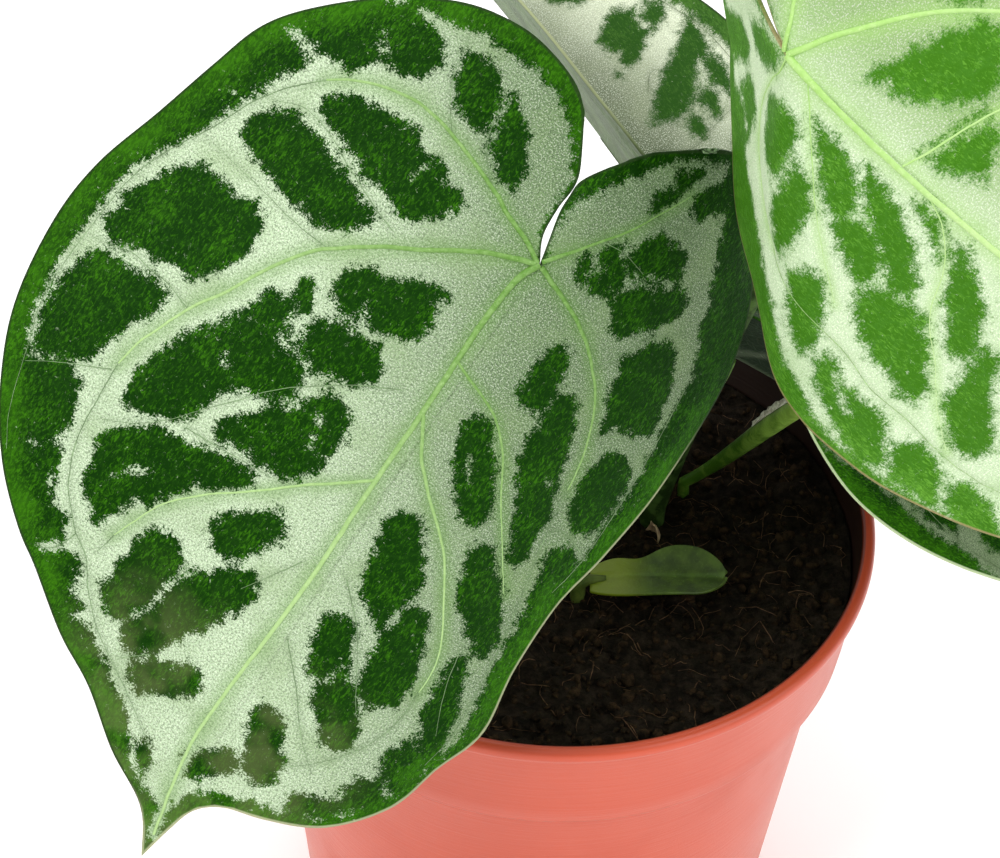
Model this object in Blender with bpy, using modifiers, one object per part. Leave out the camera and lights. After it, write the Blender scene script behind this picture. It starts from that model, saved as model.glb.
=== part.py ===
"""Potted anthurium: a heart-leaved plant standing in its nursery pot.

Millimetres below, metres in the scene. The origin is the middle of the
pot's base, +Z is up and -Y faces the viewer of the photograph.
"""
import bpy
import bmesh
import math
import numpy as np
from mathutils import Vector

MM = 0.001
GAP = 0.3

# Pot, as radii and heights.
POT_HEIGHT = 105.0
RIM_RADIUS = 60.0
RIM_INNER = 57.8
LIP_HEIGHT = 3.0
COLLAR_HEIGHT = 23.4
COLLAR_FOOT_RADIUS = 56.4
BODY_TOP_RADIUS = 53.4
BASE_RADIUS = 45.0
WALL = 1.2
BASE_THICKNESS = 1.6
DRAIN_COUNT = 8
DRAIN_RADIUS = 3.5
DRAIN_RING = 31.0
POT_SEGMENTS = 48

# Soil.
SOIL_TOP = 96.0
SOIL_RINGS = (6, 13, 21, 30, 39, 47)

# Crown: the short stem that every petiole leaves from.
CROWN = (16.5, 15.5)
CROWN_RADIUS = 4.0
CROWN_TOP = 103.0
PETIOLE_RING = 8.0
PETIOLE_FOOT_Z = 84.0

# Leaves.
BLADE = 0.7
RIB = 1.9

# Young leaf: a plain blade just above the soil, on its own short stalk.
YOUNG_FOOT = (5.0, -13.0)
YOUNG_RADIUS = 1.4
YOUNG_LENGTH = 25.0
YOUNG_WIDTH = 13.0
YOUNG_Z = 102.0
YOUNG_DIRECTION = 1.0

# One half of a leaf in (across, along) from the petiole's end: its side of the
# notch, out from the petiole, and then its edge round to the tip.
WIDE_HALF = (
    [(0, 0), (2.3, -4), (3.0, -9), (3.3, -15), (8, -23)],
    [(8, -23), (12, -26.8), (19, -29), (26, -29.4), (35, -27.3), (45, -21.5), (54, -13.2),
     (60, -5), (63, 5), (66, 17), (69.4, 30), (69.8, 42), (67, 57), (61, 69), (54, 78),
     (44, 87), (38, 91), (28, 98), (19.5, 102.5), (10, 109), (0.5, 113.3), (-4.8, 120.5)],
)
NARROW_HALF = (
    [(0, 0), (-1.3, -4.5), (-2.4, -8.5), (-2.7, -11.5), (-2.6, -15), (0.3, -20), (4.5, -25.5),
     (12, -31.5)],
    [(12, -31.5), (20, -35.5), (30.5, -31), (41, -23.5), (46.5, -18), (49.5, -11), (50.9, 0),
     (49.3, 20), (46, 35), (42.2, 47), (41.9, 60), (43.7, 73), (39.5, 82), (36, 91),
     (28, 98.6), (18, 102.4), (11.2, 104.5), (7.4, 108), (5.9, 113.5), (4.8, 120.5)],
)
FOLDED_HALF = (
    [(0, 0), (0.6, -7), (1.6, -15), (6, -22)],
    [(6, -22), (14, -28), (24, -28), (33, -20.5), (42, -8), (46.5, 0), (48.5, 8), (47.8, 17),
     (47.6, 26), (49.8, 35), (49.4, 43), (47.6, 51), (45.5, 61), (41, 75), (34, 88),
     (24, 99), (13, 109), (4, 118), (0, 127)],
)
FULL_HALF = (
    [(0, 0), (1.8, -7), (5, -17), (12, -25)],
    [(12, -25), (23, -30), (36, -26), (47, -17), (56, -4), (60, 12), (60, 30), (56, 48),
     (49, 64), (40, 78), (30, 90), (18, 102), (8, 112), (2, 120), (0, 127)],
)

# A side is (angle near the midrib, its change along the leaf, angle of the outer
# part, its change, where the outer part starts, softness). Angles in radians.
# A roll is (start, direction in the leaf, radius, growth of the radius along the
# fold, angle, +1 down or -1 up). Radii are the petiole's, from its foot to its top.
LEAVES = {
    "leaf_front": {
        "origin": (-6.2, -36.9, 198.7), "along": (-0.547, -0.582, -0.602),
        "face": (0, -0.72, 0.695), "curl": 0.003, "scale": 1.0, "rays": 56, "steps": 10,
        "right": NARROW_HALF, "left": WIDE_HALF,
        "right_side": (0.45, -0.003, 0.95, -0.004, 22, 15),
        "left_side": (0.0, 0, 0.25, 0, 35, 20),
        "rolls": (), "wave": 0.9, "turn": 215, "rise": (0, 0, 60), "arrive": (-0.25, -0.45, 0.86),
        "radii": (2.5, 2.5, 2.1, 1.7),
        "colour": (0.04, 0.16, 0.03),
    },
    "leaf_right": {
        "origin": (28.7, -43.4, 249.2), "along": (0.70, -0.44, -0.42),
        "face": (-0.28, -0.94, 0.47), "curl": 0.003, "scale": 1.0, "rays": 56, "steps": 10,
        "right": FULL_HALF, "left": FOLDED_HALF,
        "right_side": (0.2, 0, 0.5, 0, 20, 15),
        "left_side": (0.15, 0, 0.32, 0, 10, 12),
        "rolls": ((-1.7, 215, 2.8, 0.46, 1.0, 1),), "wave": 0.8, "turn": 285,
        "rise": (13, 4, 62), "arrive": (-0.25, -0.45, 0.85), "radii": (2.5, 2.5, 2.1, 1.7),
        "colour": (0.08, 0.26, 0.04),
    },
    "leaf_back": {
        "origin": (16.0, 12.8, 165.5), "along": (-0.62, 0.58, 0.53),
        "face": (0.17, -0.57, 0.81), "curl": 0.004, "scale": 0.61, "rays": 40, "steps": 7,
        "right": FULL_HALF, "left": FULL_HALF,
        "right_side": (-1.34, 0, -1.39, 0, 20, 15),
        "left_side": (0.18, 0, 0.23, 0, 20, 15),
        "rolls": (), "wave": 0.4, "turn": 125, "rise": (-2, 4, 28),
        "arrive": (0.1, -0.15, 0.97), "radii": (2.2, 2.2, 1.8, 1.4),
        "colour": (0.06, 0.17, 0.05),
    },
    "leaf_low": {
        "origin": (60.1, -16.6, 162.3), "along": (0.93, -0.27, -0.26),
        "face": (0.34, 0.32, 0.89), "curl": 0.005, "scale": 0.65, "rays": 40, "steps": 7,
        "right": FULL_HALF, "left": FULL_HALF,
        "right_side": (0.2, 0, 0.5, 0, 20, 15),
        "left_side": (0.2, 0, 0.7, 0, 20, 15),
        "rolls": (), "wave": 0.6, "turn": 355, "rise": (12, 1, 8),
        "arrive": (0.72, -0.48, 0.48), "radii": (1.7, 1.5, 2.3, 1.4), "colour": (0.03, 0.13, 0.03),
    },
    "leaf_rear": {
        "origin": (29.6, 19.0, 129.9), "along": (0.905, -0.30, -0.30),
        "face": (0.29, -0.10, 0.95), "curl": 0.003, "scale": 0.48, "rays": 40, "steps": 7,
        "right": FULL_HALF, "left": FULL_HALF,
        "right_side": (0.0, 0, 0.2, 0, 20, 15),
        "left_side": (-1.25, 0, -0.95, 0, 14, 12),
        "rolls": (), "wave": 0.4, "turn": 55, "rise": (0, 0, 12),
        "arrive": (0.25, 0.0, 0.97), "radii": (2.0, 2.0, 1.6, 1.3), "colour": (0.04, 0.12, 0.04),
    },
}


def clear_scene():
    for obj in list(bpy.data.objects):
        bpy.data.objects.remove(obj, do_unlink=True)


def unit(v):
    v = np.asarray(v, float)
    return v / np.linalg.norm(v)


def leaf_frame(leaf):
    """The origin of a leaf, and its directions across, along and out of its face."""
    along = unit(leaf["along"])
    face = np.asarray(leaf["face"], float)
    face = unit(face - along * (face @ along))
    return np.asarray(leaf["origin"], float), np.cross(face, along), along, face


def side_bend(side, s, t):
    """How far a point moves across and out of the flat, for the half it is on."""
    near = np.clip(side[0] + side[1] * t, -1.5, 1.5)
    far = np.clip(side[2] + side[3] * t, -1.5, 1.5)
    start, soft = side[4], side[5]
    w = np.abs(s)
    crease = np.sqrt(w * w + 1.44) - 1.2
    outer = 0.5 * ((w - start) + np.hypot(w - start, soft) + start - np.hypot(start, soft))
    across = w * np.cos(near) + outer * (np.cos(far) - np.cos(near))
    out = -(crease * np.sin(near) + outer * (np.sin(far) - np.sin(near)))
    return across, out


def leaf_surface(leaf, s, t):
    """Points in space of the leaf's face, for (s, t) across and along it."""
    origin, across_dir, along_dir, face_dir = leaf_frame(leaf)
    k = leaf["curl"]
    theta = k * t
    along = np.sin(theta) / k
    drop = -(1 - np.cos(theta)) / k
    ax, nx = side_bend(leaf["right_side"], s, t)
    bx, ny = side_bend(leaf["left_side"], s, t)
    across = np.where(s > 0, ax, -bx)
    out = np.where(s > 0, nx, ny)
    size = np.hypot(s, t) / 60.0
    out = out + leaf["wave"] * size ** 2 * np.sin(np.arctan2(s, t + 25) * 9.0)
    for start, direction, radius, growth, angle, sign in leaf["rolls"]:
        ds, dt = math.cos(math.radians(direction)), math.sin(math.radians(direction))
        u = s * ds + t * dt - start
        radius = radius + growth * np.maximum(s * dt - t * ds, 0)
        turned = np.clip(u / radius, 0, angle)
        rest = np.maximum(u - radius * angle, 0)
        shift = np.where(u > 0, radius * np.sin(turned) + rest * math.cos(angle) - u, 0)
        sink = radius * (1 - np.cos(turned)) + rest * math.sin(angle)
        across = across + shift * ds
        along = along + shift * dt
        out = out - sign * np.where(u > 0, sink, 0)
    lift = face_dir[None] * np.cos(theta)[:, None] + along_dir[None] * np.sin(theta)[:, None]
    return (origin + across_dir * across[:, None] + along_dir * along[:, None]
            + face_dir * drop[:, None] + lift * out[:, None])


def spline(points, count):
    """count points spread evenly along a smooth curve through the given ones."""
    p = np.asarray(points, float)
    ends = np.vstack([2 * p[0] - p[1], p, 2 * p[-1] - p[-2]])
    fine = []
    for i in range(1, len(ends) - 2):
        a, b, c, d = ends[i - 1:i + 3]
        u = np.linspace(0, 1, 12, endpoint=False)[:, None]
        fine.append(0.5 * (2 * b + (c - a) * u + (2 * a - 5 * b + 4 * c - d) * u ** 2
                           + (3 * b - a - 3 * c + d) * u ** 3))
    fine = np.vstack(fine + [p[-1:]])
    length = np.concatenate([[0], np.cumsum(np.linalg.norm(np.diff(fine, axis=0), axis=1))])
    at = np.linspace(0, length[-1], count)
    return np.stack([np.interp(at, length, fine[:, i]) for i in range(fine.shape[1])], 1)


def half_rays(half, count, v):
    """Rays of one half, from the one beside the notch to the midrib."""
    edge = spline(half[1], count + 1)
    notch = spline(half[0], 41)
    bow = np.stack([np.interp(v, np.linspace(0, 1, 41), notch[:, i] - np.linspace(0, 1, 41)
                              * notch[-1, i]) for i in range(2)], 1)
    share = np.clip(1 - 2.5 * np.linspace(0, 1, count + 1), 0, 1) ** 2
    return v[:, None, None] * edge + share[:, None] * bow[:, None]


def blade_points(leaf):
    """(s, t) for a fan of rays from the petiole to the outline, one row per step out."""
    v = np.linspace(0, 1, leaf["steps"] + 1) ** 0.85
    left = half_rays(leaf["left"], leaf["rays"] // 2, v) * (-1, 1)
    right = half_rays(leaf["right"], leaf["rays"] // 2, v)
    return np.concatenate([left, right[:, ::-1][:, 1:]], 1) * leaf["scale"]


def material(name, colour, roughness):
    mat = bpy.data.materials.new(name)
    mat.use_nodes = True
    shader = mat.node_tree.nodes["Principled BSDF"]
    shader.inputs["Base Color"].default_value = (*colour, 1.0)
    shader.inputs["Roughness"].default_value = roughness
    return mat


def mesh_object(name, mesh, mat, coll, smooth=True):
    obj = bpy.data.objects.new(name, mesh)
    coll.objects.link(obj)
    if mat:
        mesh.materials.append(mat)
    for poly in mesh.polygons:
        poly.use_smooth = smooth
    return obj


def settled(obj, coll, name):
    """The object's evaluated mesh as a new object, with its modifiers used up."""
    graph = bpy.context.evaluated_depsgraph_get()
    mesh = bpy.data.meshes.new_from_object(obj.evaluated_get(graph))
    mesh.name = name
    new = bpy.data.objects.new(name, mesh)
    coll.objects.link(new)
    return new


def blade_object(name, leaf, coll):
    """The blade as a closed skin, thickened on its underside along the ribs."""
    grid = blade_points(leaf)
    rows, cols = grid.shape[:2]
    flat = grid.reshape(-1, 2)
    world = leaf_surface(leaf, flat[:, 0], flat[:, 1]) * MM
    bm = bmesh.new()
    bmesh.ops.create_grid(bm, x_segments=cols - 1, y_segments=rows - 1, size=1)
    bm.verts.ensure_lookup_table()
    for vert, place in zip(bm.verts, world):
        vert.co = Vector(place)
    layer = bm.verts.layers.deform.verify()
    half = cols // 2
    ribs = {half: 1.0, half // 3: 0.55, cols - 1 - half // 3: 0.55,
            2 * half // 3: 0.45, cols - 1 - 2 * half // 3: 0.45}
    for i, vert in enumerate(bm.verts):
        row, col = divmod(i, cols)
        along = row / (rows - 1)
        weight = ribs.get(col, 0.0) * (1 - along) ** 0.8 if row else 1.0
        vert[layer][0] = min(1.0, weight)
    bmesh.ops.remove_doubles(bm, verts=bm.verts, dist=0.02 * MM)
    bmesh.ops.reverse_faces(bm, faces=bm.faces)
    bmesh.ops.triangulate(bm, faces=bm.faces)
    mesh = bpy.data.meshes.new(name)
    bm.to_mesh(mesh)
    bm.free()
    obj = mesh_object(name, mesh, None, coll)
    obj.vertex_groups.new(name="rib")
    thick = obj.modifiers.new("thickness", "SOLIDIFY")
    thick.thickness = RIB * MM
    thick.offset = -1
    thick.vertex_group = "rib"
    thick.thickness_vertex_group = BLADE / RIB
    thick.use_even_offset = False
    return obj


def bezier_tube(name, coll, knots, radii, resolution=2):
    """A round tube along a curve through the knots, closed at both ends."""
    data = bpy.data.curves.new(name, "CURVE")
    data.dimensions = "3D"
    line = data.splines.new("BEZIER")
    line.bezier_points.add(len(knots) - 1)
    for point, (place, before, after), radius in zip(line.bezier_points, knots, radii):
        point.co = [c * MM for c in place]
        point.handle_left = [c * MM for c in before]
        point.handle_right = [c * MM for c in after]
        point.radius = radius
    data.bevel_depth = MM
    data.bevel_resolution = resolution
    data.resolution_u = 8
    data.use_fill_caps = True
    obj = bpy.data.objects.new(name, data)
    coll.objects.link(obj)
    return obj


def foot_of(leaf):
    a = math.radians(leaf["turn"])
    return np.array([CROWN[0] + PETIOLE_RING * math.cos(a), CROWN[1] + PETIOLE_RING * math.sin(a),
                     PETIOLE_FOOT_Z])


def petiole_knots(leaf):
    """The petiole rises from its hole in the soil and meets the leaf from behind."""
    origin, across, along, face = leaf_frame(leaf)
    foot = foot_of(leaf)
    rise = np.asarray(leaf["rise"], float)
    arrive = unit(leaf["arrive"])
    end = leaf_surface(leaf, np.array([0.0]), np.array([1.6]))[0] - face * 1.3
    surface = foot + (0, 0, SOIL_TOP + 3 - PETIOLE_FOOT_Z)
    reach = 0.33 * np.linalg.norm(end - surface)
    a, b = surface + rise, end - arrive * reach
    ab, sa, be = (a + b) / 2, (surface + a) / 2, (b + end) / 2
    before, after = (sa + ab) / 2, (ab + be) / 2
    return [
        (foot, foot - (0, 0, 3), foot + (0, 0, 3)),
        (surface, surface - (0, 0, 4), sa),
        ((before + after) / 2, before, after),
        (end, be, end + arrive),
    ]


def leaf_object(name, leaf, coll, cutters):
    blade = blade_object(name + "_blade", leaf, cutters)
    tube = bezier_tube(name + "_stalk", cutters, petiole_knots(leaf), leaf["radii"])
    stalk = settled(tube, cutters, name + "_petiole")
    bm = bmesh.new()
    bm.from_mesh(stalk.data)
    bmesh.ops.remove_doubles(bm, verts=bm.verts, dist=0.01 * MM)
    bmesh.ops.recalc_face_normals(bm, faces=bm.faces)
    bm.to_mesh(stalk.data)
    bm.free()
    join = blade.modifiers.new("petiole", "BOOLEAN")
    join.operation = "UNION"
    join.solver = "EXACT"
    join.object = stalk
    bpy.context.view_layer.update()
    leaf_obj = settled(blade, coll, name)
    leaf_obj.data.materials.clear()
    leaf_obj.data.materials.append(material(name, leaf["colour"], 0.45))
    for poly in leaf_obj.data.polygons:
        poly.use_smooth = True
    for helper in (blade, stalk, tube):
        bpy.data.objects.remove(helper, do_unlink=True)
    return leaf_obj


def turned(name, profile, segments, coll, mat):
    """A solid of revolution from (radius, height) points, outside going up."""
    bm = bmesh.new()
    verts = [bm.verts.new((r * MM, 0, z * MM)) for r, z in profile]
    for a, b in zip(verts, verts[1:]):
        bm.edges.new((a, b))
    bmesh.ops.spin(bm, geom=bm.verts[:] + bm.edges[:], cent=(0, 0, 0), axis=(0, 0, 1),
                   angle=math.tau, steps=segments, use_merge=True)
    bmesh.ops.remove_doubles(bm, verts=bm.verts, dist=0.01 * MM)
    bmesh.ops.recalc_face_normals(bm, faces=bm.faces)
    mesh = bpy.data.meshes.new(name)
    bm.to_mesh(mesh)
    bm.free()
    return mesh_object(name, mesh, mat, coll)


def pot_inner_radius(z):
    """Inside radius of the pot's body at a height."""
    low, high = BASE_THICKNESS + 0.8, POT_HEIGHT - COLLAR_HEIGHT - 1.2
    return BASE_RADIUS - WALL + (BODY_TOP_RADIUS - BASE_RADIUS) * (z - low) / (high - low)


def make_pot(coll, cutters):
    shoulder = POT_HEIGHT - COLLAR_HEIGHT
    profile = [
        (0, 0), (BASE_RADIUS - 1.0, 0), (BASE_RADIUS, 1.0), (BODY_TOP_RADIUS, shoulder - 0.6),
        (COLLAR_FOOT_RADIUS - 0.4, shoulder - 0.3), (COLLAR_FOOT_RADIUS, shoulder + 0.4),
        (RIM_RADIUS - 1.4, POT_HEIGHT - LIP_HEIGHT - 0.4), (RIM_RADIUS - 0.5, POT_HEIGHT - LIP_HEIGHT),
        (RIM_RADIUS, POT_HEIGHT - LIP_HEIGHT + 0.8), (RIM_RADIUS, POT_HEIGHT - 1.0),
        (RIM_RADIUS - 0.5, POT_HEIGHT - 0.3), (RIM_INNER + 0.3, POT_HEIGHT),
        (RIM_INNER - 0.2, POT_HEIGHT - 0.4), (COLLAR_FOOT_RADIUS - 0.8, shoulder + 2.0),
        (BODY_TOP_RADIUS - WALL, shoulder - 1.2), (BASE_RADIUS - WALL, BASE_THICKNESS + 0.8),
        (BASE_RADIUS - WALL - 0.8, BASE_THICKNESS), (0, BASE_THICKNESS),
    ]
    mat = material("pot", (0.66, 0.19, 0.11), 0.42)
    pot = turned("pot", profile, POT_SEGMENTS, coll, mat)
    for i in range(DRAIN_COUNT):
        a = math.tau * (i + 0.5) / DRAIN_COUNT
        bpy.ops.mesh.primitive_cylinder_add(
            vertices=20, radius=DRAIN_RADIUS * MM, depth=8 * MM,
            location=(DRAIN_RING * MM * math.cos(a), DRAIN_RING * MM * math.sin(a), 0.8 * MM))
        hole = bpy.context.object
        hole.name = f"drain_cutter_{i}"
        for owner in list(hole.users_collection):
            owner.objects.unlink(hole)
        cutters.objects.link(hole)
        hole.hide_render = True
        hole.display_type = "WIRE"
        cut = pot.modifiers.new(f"drain_{i}", "BOOLEAN")
        cut.operation = "DIFFERENCE"
        cut.solver = "EXACT"
        cut.object = hole
    return pot


def make_soil(coll, cutters):
    """The filling of the pot, gently uneven on top, with a plain hole for each stem."""
    floor = BASE_THICKNESS + GAP
    shoulder = POT_HEIGHT - COLLAR_HEIGHT
    collar = COLLAR_FOOT_RADIUS - 0.8 - GAP
    top = RIM_INNER - 1.15 - GAP
    profile = [(0, floor), (BASE_RADIUS - WALL - 1.4, floor)]
    profile += [(pot_inner_radius(z) - GAP, z) for z in (floor + 1.2, 40, shoulder - 1.6)]
    profile += [(collar, shoulder + 2.4), (top, SOIL_TOP - 1.5), (top - 1.5, SOIL_TOP - 0.5)]
    profile += [(r, SOIL_TOP) for r in reversed(SOIL_RINGS)] + [(0, SOIL_TOP)]
    soil = turned("soil", profile, POT_SEGMENTS, coll, material("soil", (0.030, 0.021, 0.016), 0.95))
    for vert in soil.data.vertices:
        x, y, z = (c / MM for c in vert.co)
        if z > SOIL_TOP - 0.2:
            r = math.hypot(x, y)
            heave = math.sin(0.21 * x + 1.0) * math.cos(0.17 * y) + 0.6 * math.sin(0.4 * x - 0.33 * y)
            vert.co.z += MM * 0.8 * heave * (1 - (r / 60) ** 4)
    stems = [(foot_of(leaf), leaf["radii"][0]) for leaf in LEAVES.values()]
    stems.append((np.array([*CROWN, PETIOLE_FOOT_Z]), CROWN_RADIUS))
    stems.append((np.array([*YOUNG_FOOT, PETIOLE_FOOT_Z]), YOUNG_RADIUS))
    for i, (foot, radius) in enumerate(stems):
        bpy.ops.mesh.primitive_cylinder_add(
            vertices=20, radius=(radius + GAP) * MM, depth=30 * MM,
            location=(foot[0] * MM, foot[1] * MM, (PETIOLE_FOOT_Z - GAP + 15) * MM))
        hole = bpy.context.object
        hole.name = f"stem_cutter_{i}"
        for owner in list(hole.users_collection):
            owner.objects.unlink(hole)
        cutters.objects.link(hole)
        hole.hide_render = True
        hole.display_type = "WIRE"
        cut = soil.modifiers.new(f"stem_{i}", "BOOLEAN")
        cut.operation = "DIFFERENCE"
        cut.solver = "EXACT"
        cut.object = hole
    return soil


def make_young_leaf(coll, cutters):
    """A short oval blade with raised sides, joined to a stalk that bends into it."""
    a = math.radians(YOUNG_DIRECTION)
    out = np.array([math.cos(a), math.sin(a), 0])
    side = np.array([-math.sin(a), math.cos(a), 0])
    start = np.array([*YOUNG_FOOT, YOUNG_Z - 2.0]) + out * 2.0
    rows, cols = 13, 9
    bm = bmesh.new()
    bmesh.ops.create_grid(bm, x_segments=cols - 1, y_segments=rows - 1, size=1)
    bm.verts.ensure_lookup_table()
    for i, vert in enumerate(bm.verts):
        row, col = divmod(i, cols)
        t = row / (rows - 1)
        w = 2 * col / (cols - 1) - 1
        half = 0.5 * YOUNG_WIDTH * (0.30 + 0.70 * math.sin(math.pi * min(1, t * 0.86 + 0.02)) ** 0.8)
        half *= math.sqrt(max(0.0, 1 - max(0.0, (t - 0.75) / 0.25) ** 2.2)) * 0.94 + 0.06
        rise = 3.0 * math.sin(math.pi * 0.5 * t) + 1.6 * w * w * math.sin(math.pi * t)
        rise += 0.5 * math.sin(6 * t + 2 * w)
        place = start + out * (t * YOUNG_LENGTH) + side * (w * half) + np.array([0, 0, rise])
        vert.co = Vector(place * MM)
    bmesh.ops.reverse_faces(bm, faces=bm.faces)
    mesh = bpy.data.meshes.new("young_blade")
    bm.to_mesh(mesh)
    bm.free()
    blade = mesh_object("young_blade", mesh, None, cutters)
    thick = blade.modifiers.new("thickness", "SOLIDIFY")
    thick.thickness = 0.8 * MM
    thick.offset = -1
    foot = np.array([*YOUNG_FOOT, PETIOLE_FOOT_Z])
    bend = np.array([*YOUNG_FOOT, SOIL_TOP + 1.5])
    end = start + out * 3.0 + np.array([0, 0, 0.2])
    tube = bezier_tube("young_stalk", cutters, [
        (foot, foot - (0, 0, 2), foot + (0, 0, 2)),
        (bend, bend - (0, 0, 3), bend + (0, 0, 2.5)),
        (end, end - out * 2.2, end + out),
    ], (YOUNG_RADIUS, YOUNG_RADIUS, 0.75))
    stalk = settled(tube, cutters, "young_petiole")
    bm = bmesh.new()
    bm.from_mesh(stalk.data)
    bmesh.ops.remove_doubles(bm, verts=bm.verts, dist=0.01 * MM)
    bmesh.ops.recalc_face_normals(bm, faces=bm.faces)
    bm.to_mesh(stalk.data)
    bm.free()
    join = blade.modifiers.new("stalk", "BOOLEAN")
    join.operation = "UNION"
    join.solver = "EXACT"
    join.object = stalk
    bpy.context.view_layer.update()
    leaf = settled(blade, coll, "young_leaf")
    leaf.data.materials.append(material("young_leaf", (0.10, 0.24, 0.05), 0.5))
    for poly in leaf.data.polygons:
        poly.use_smooth = True
    for helper in (blade, stalk, tube):
        bpy.data.objects.remove(helper, do_unlink=True)
    return leaf


def make_crown(coll):
    """The short brown stem in the middle of the petioles, with a ragged top."""
    profile = [(0, PETIOLE_FOOT_Z), (CROWN_RADIUS, PETIOLE_FOOT_Z), (CROWN_RADIUS, SOIL_TOP + 2.0),
               (CROWN_RADIUS - 0.4, CROWN_TOP - 3.0), (CROWN_RADIUS - 1.6, CROWN_TOP - 0.6),
               (0, CROWN_TOP)]
    crown = turned("crown", profile, 24, coll, material("crown", (0.20, 0.11, 0.06), 0.9))
    for vert in crown.data.vertices:
        vert.co.x += CROWN[0] * MM
        vert.co.y += CROWN[1] * MM
    return crown


def main():
    clear_scene()
    coll = bpy.data.collections.new("potted_anthurium")
    bpy.context.scene.collection.children.link(coll)
    cutters = bpy.data.collections.new("cutters")
    bpy.context.scene.collection.children.link(cutters)
    make_pot(coll, cutters)
    make_soil(coll, cutters)
    make_crown(coll)
    for name, leaf in LEAVES.items():
        leaf_object(name, leaf, coll, cutters)
    make_young_leaf(coll, cutters)
    cutters.hide_render = True


main()
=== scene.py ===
"""Potted anthurium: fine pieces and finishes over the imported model.

Sizes in this file are millimetres unless a line says otherwise. The scene is in
metres, the origin is the middle of the pot's base and -Y faces the viewer.
"""
import functools
import math
import random

import bmesh
import bpy
import numpy as np
from mathutils import Matrix, Vector, noise


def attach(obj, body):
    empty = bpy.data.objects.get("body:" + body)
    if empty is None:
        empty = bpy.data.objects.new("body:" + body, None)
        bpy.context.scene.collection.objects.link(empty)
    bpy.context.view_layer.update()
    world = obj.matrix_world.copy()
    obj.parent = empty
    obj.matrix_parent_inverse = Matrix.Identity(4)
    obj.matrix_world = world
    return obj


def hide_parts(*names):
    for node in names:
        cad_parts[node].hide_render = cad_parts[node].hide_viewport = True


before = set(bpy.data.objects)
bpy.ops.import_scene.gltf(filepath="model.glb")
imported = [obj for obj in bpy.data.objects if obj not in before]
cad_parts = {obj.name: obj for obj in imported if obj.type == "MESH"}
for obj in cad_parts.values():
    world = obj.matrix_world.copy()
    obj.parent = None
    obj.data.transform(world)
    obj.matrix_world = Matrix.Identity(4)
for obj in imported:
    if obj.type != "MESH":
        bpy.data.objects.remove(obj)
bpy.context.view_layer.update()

bl_info = {
    "name": "Potted anthurium",
    "version": (1, 0, 0),
    "blender": (4, 5, 0),
    "location": "3D View > Sidebar > Anthurium",
    "description": "Makes the leaves, petioles, soil and pot of a potted anthurium",
    "category": "Object",
}

MM = 0.001

# Where the camera stands, its right, up and backward directions, and its lens and frame.
CAMERA_PLACE = (-11.110, -469.350, 586.141)
CAMERA_RIGHT = (0.99844, 0.03913, 0.03981)
CAMERA_UP = (-0.05582, 0.69982, 0.71214)
CAMERA_BACK = (0.0, -0.71325, 0.70091)
CAMERA_LENS = 129.6
CAMERA_FRAME = 36.0

# Pot and soil.
POT_HEIGHT = 105.0
RIM_RADIUS = 60.0
RIM_INNER = 57.8
LIP_HEIGHT = 3.0
COLLAR_HEIGHT = 23.4
COLLAR_FOOT_RADIUS = 56.4
BODY_TOP_RADIUS = 53.4
BASE_RADIUS = 45.0
WALL = 1.2
BASE_THICKNESS = 1.6
DRAIN_COUNT = 8
DRAIN_RADIUS = 3.5
DRAIN_RING = 31.0
SOIL_TOP = 96.0
CROWN = (16.5, 15.5)
PETIOLE_RING = 8.0
PETIOLE_FOOT_Z = 84.0
BLADE_THICKNESS = 0.5
# Further than any rib, crease or edge is felt.
FAR = 60.0

# One half of a leaf in (across, along) from the petiole's end: its side of the
# notch, out from the petiole, and then its edge round to the tip.
WIDE_HALF = (
    [(0, 0), (2.3, -4), (3.0, -9), (3.3, -15), (8, -23)],
    [(8, -23), (12, -26.8), (19, -29), (26, -29.4), (35, -27.3), (45, -21.5), (54, -13.2),
     (60, -5), (63, 5), (66, 17), (69.4, 30), (69.8, 42), (67, 57), (61, 69), (54, 78),
     (44, 87), (38, 91), (28, 98), (19.5, 102.5), (10, 109), (0.5, 113.3), (-4.8, 120.5)],
)
NARROW_HALF = (
    [(0, 0), (-1.3, -4.5), (-2.4, -8.5), (-2.7, -11.5), (-2.6, -15), (0.3, -20), (4.5, -25.5),
     (12, -31.5)],
    [(12, -31.5), (20, -35.5), (30.5, -31), (41, -23.5), (46.5, -18), (49.5, -11), (50.9, 0),
     (49.3, 20), (46, 35), (42.2, 47), (41.9, 60), (43.7, 73), (39.5, 82), (36, 91),
     (28, 98.6), (18, 102.4), (11.2, 104.5), (7.4, 108), (5.9, 113.5), (4.8, 120.5)],
)
FOLDED_HALF = (
    [(0, 0), (0.6, -7), (1.6, -15), (6, -22)],
    [(6, -22), (14, -28), (24, -28), (33, -20.5), (42, -8), (46.5, 0), (48.5, 8), (47.8, 17),
     (47.6, 26), (49.8, 35), (49.4, 43), (47.6, 51), (45.5, 61), (41, 75), (34, 88),
     (24, 99), (13, 109), (4, 118), (0, 127)],
)
FULL_HALF = (
    [(0, 0), (1.8, -7), (5, -17), (12, -25)],
    [(12, -25), (23, -30), (36, -26), (47, -17), (56, -4), (60, 12), (60, 30), (56, 48),
     (49, 64), (40, 78), (30, 90), (18, 102), (8, 112), (2, 120), (0, 127)],
)

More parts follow.
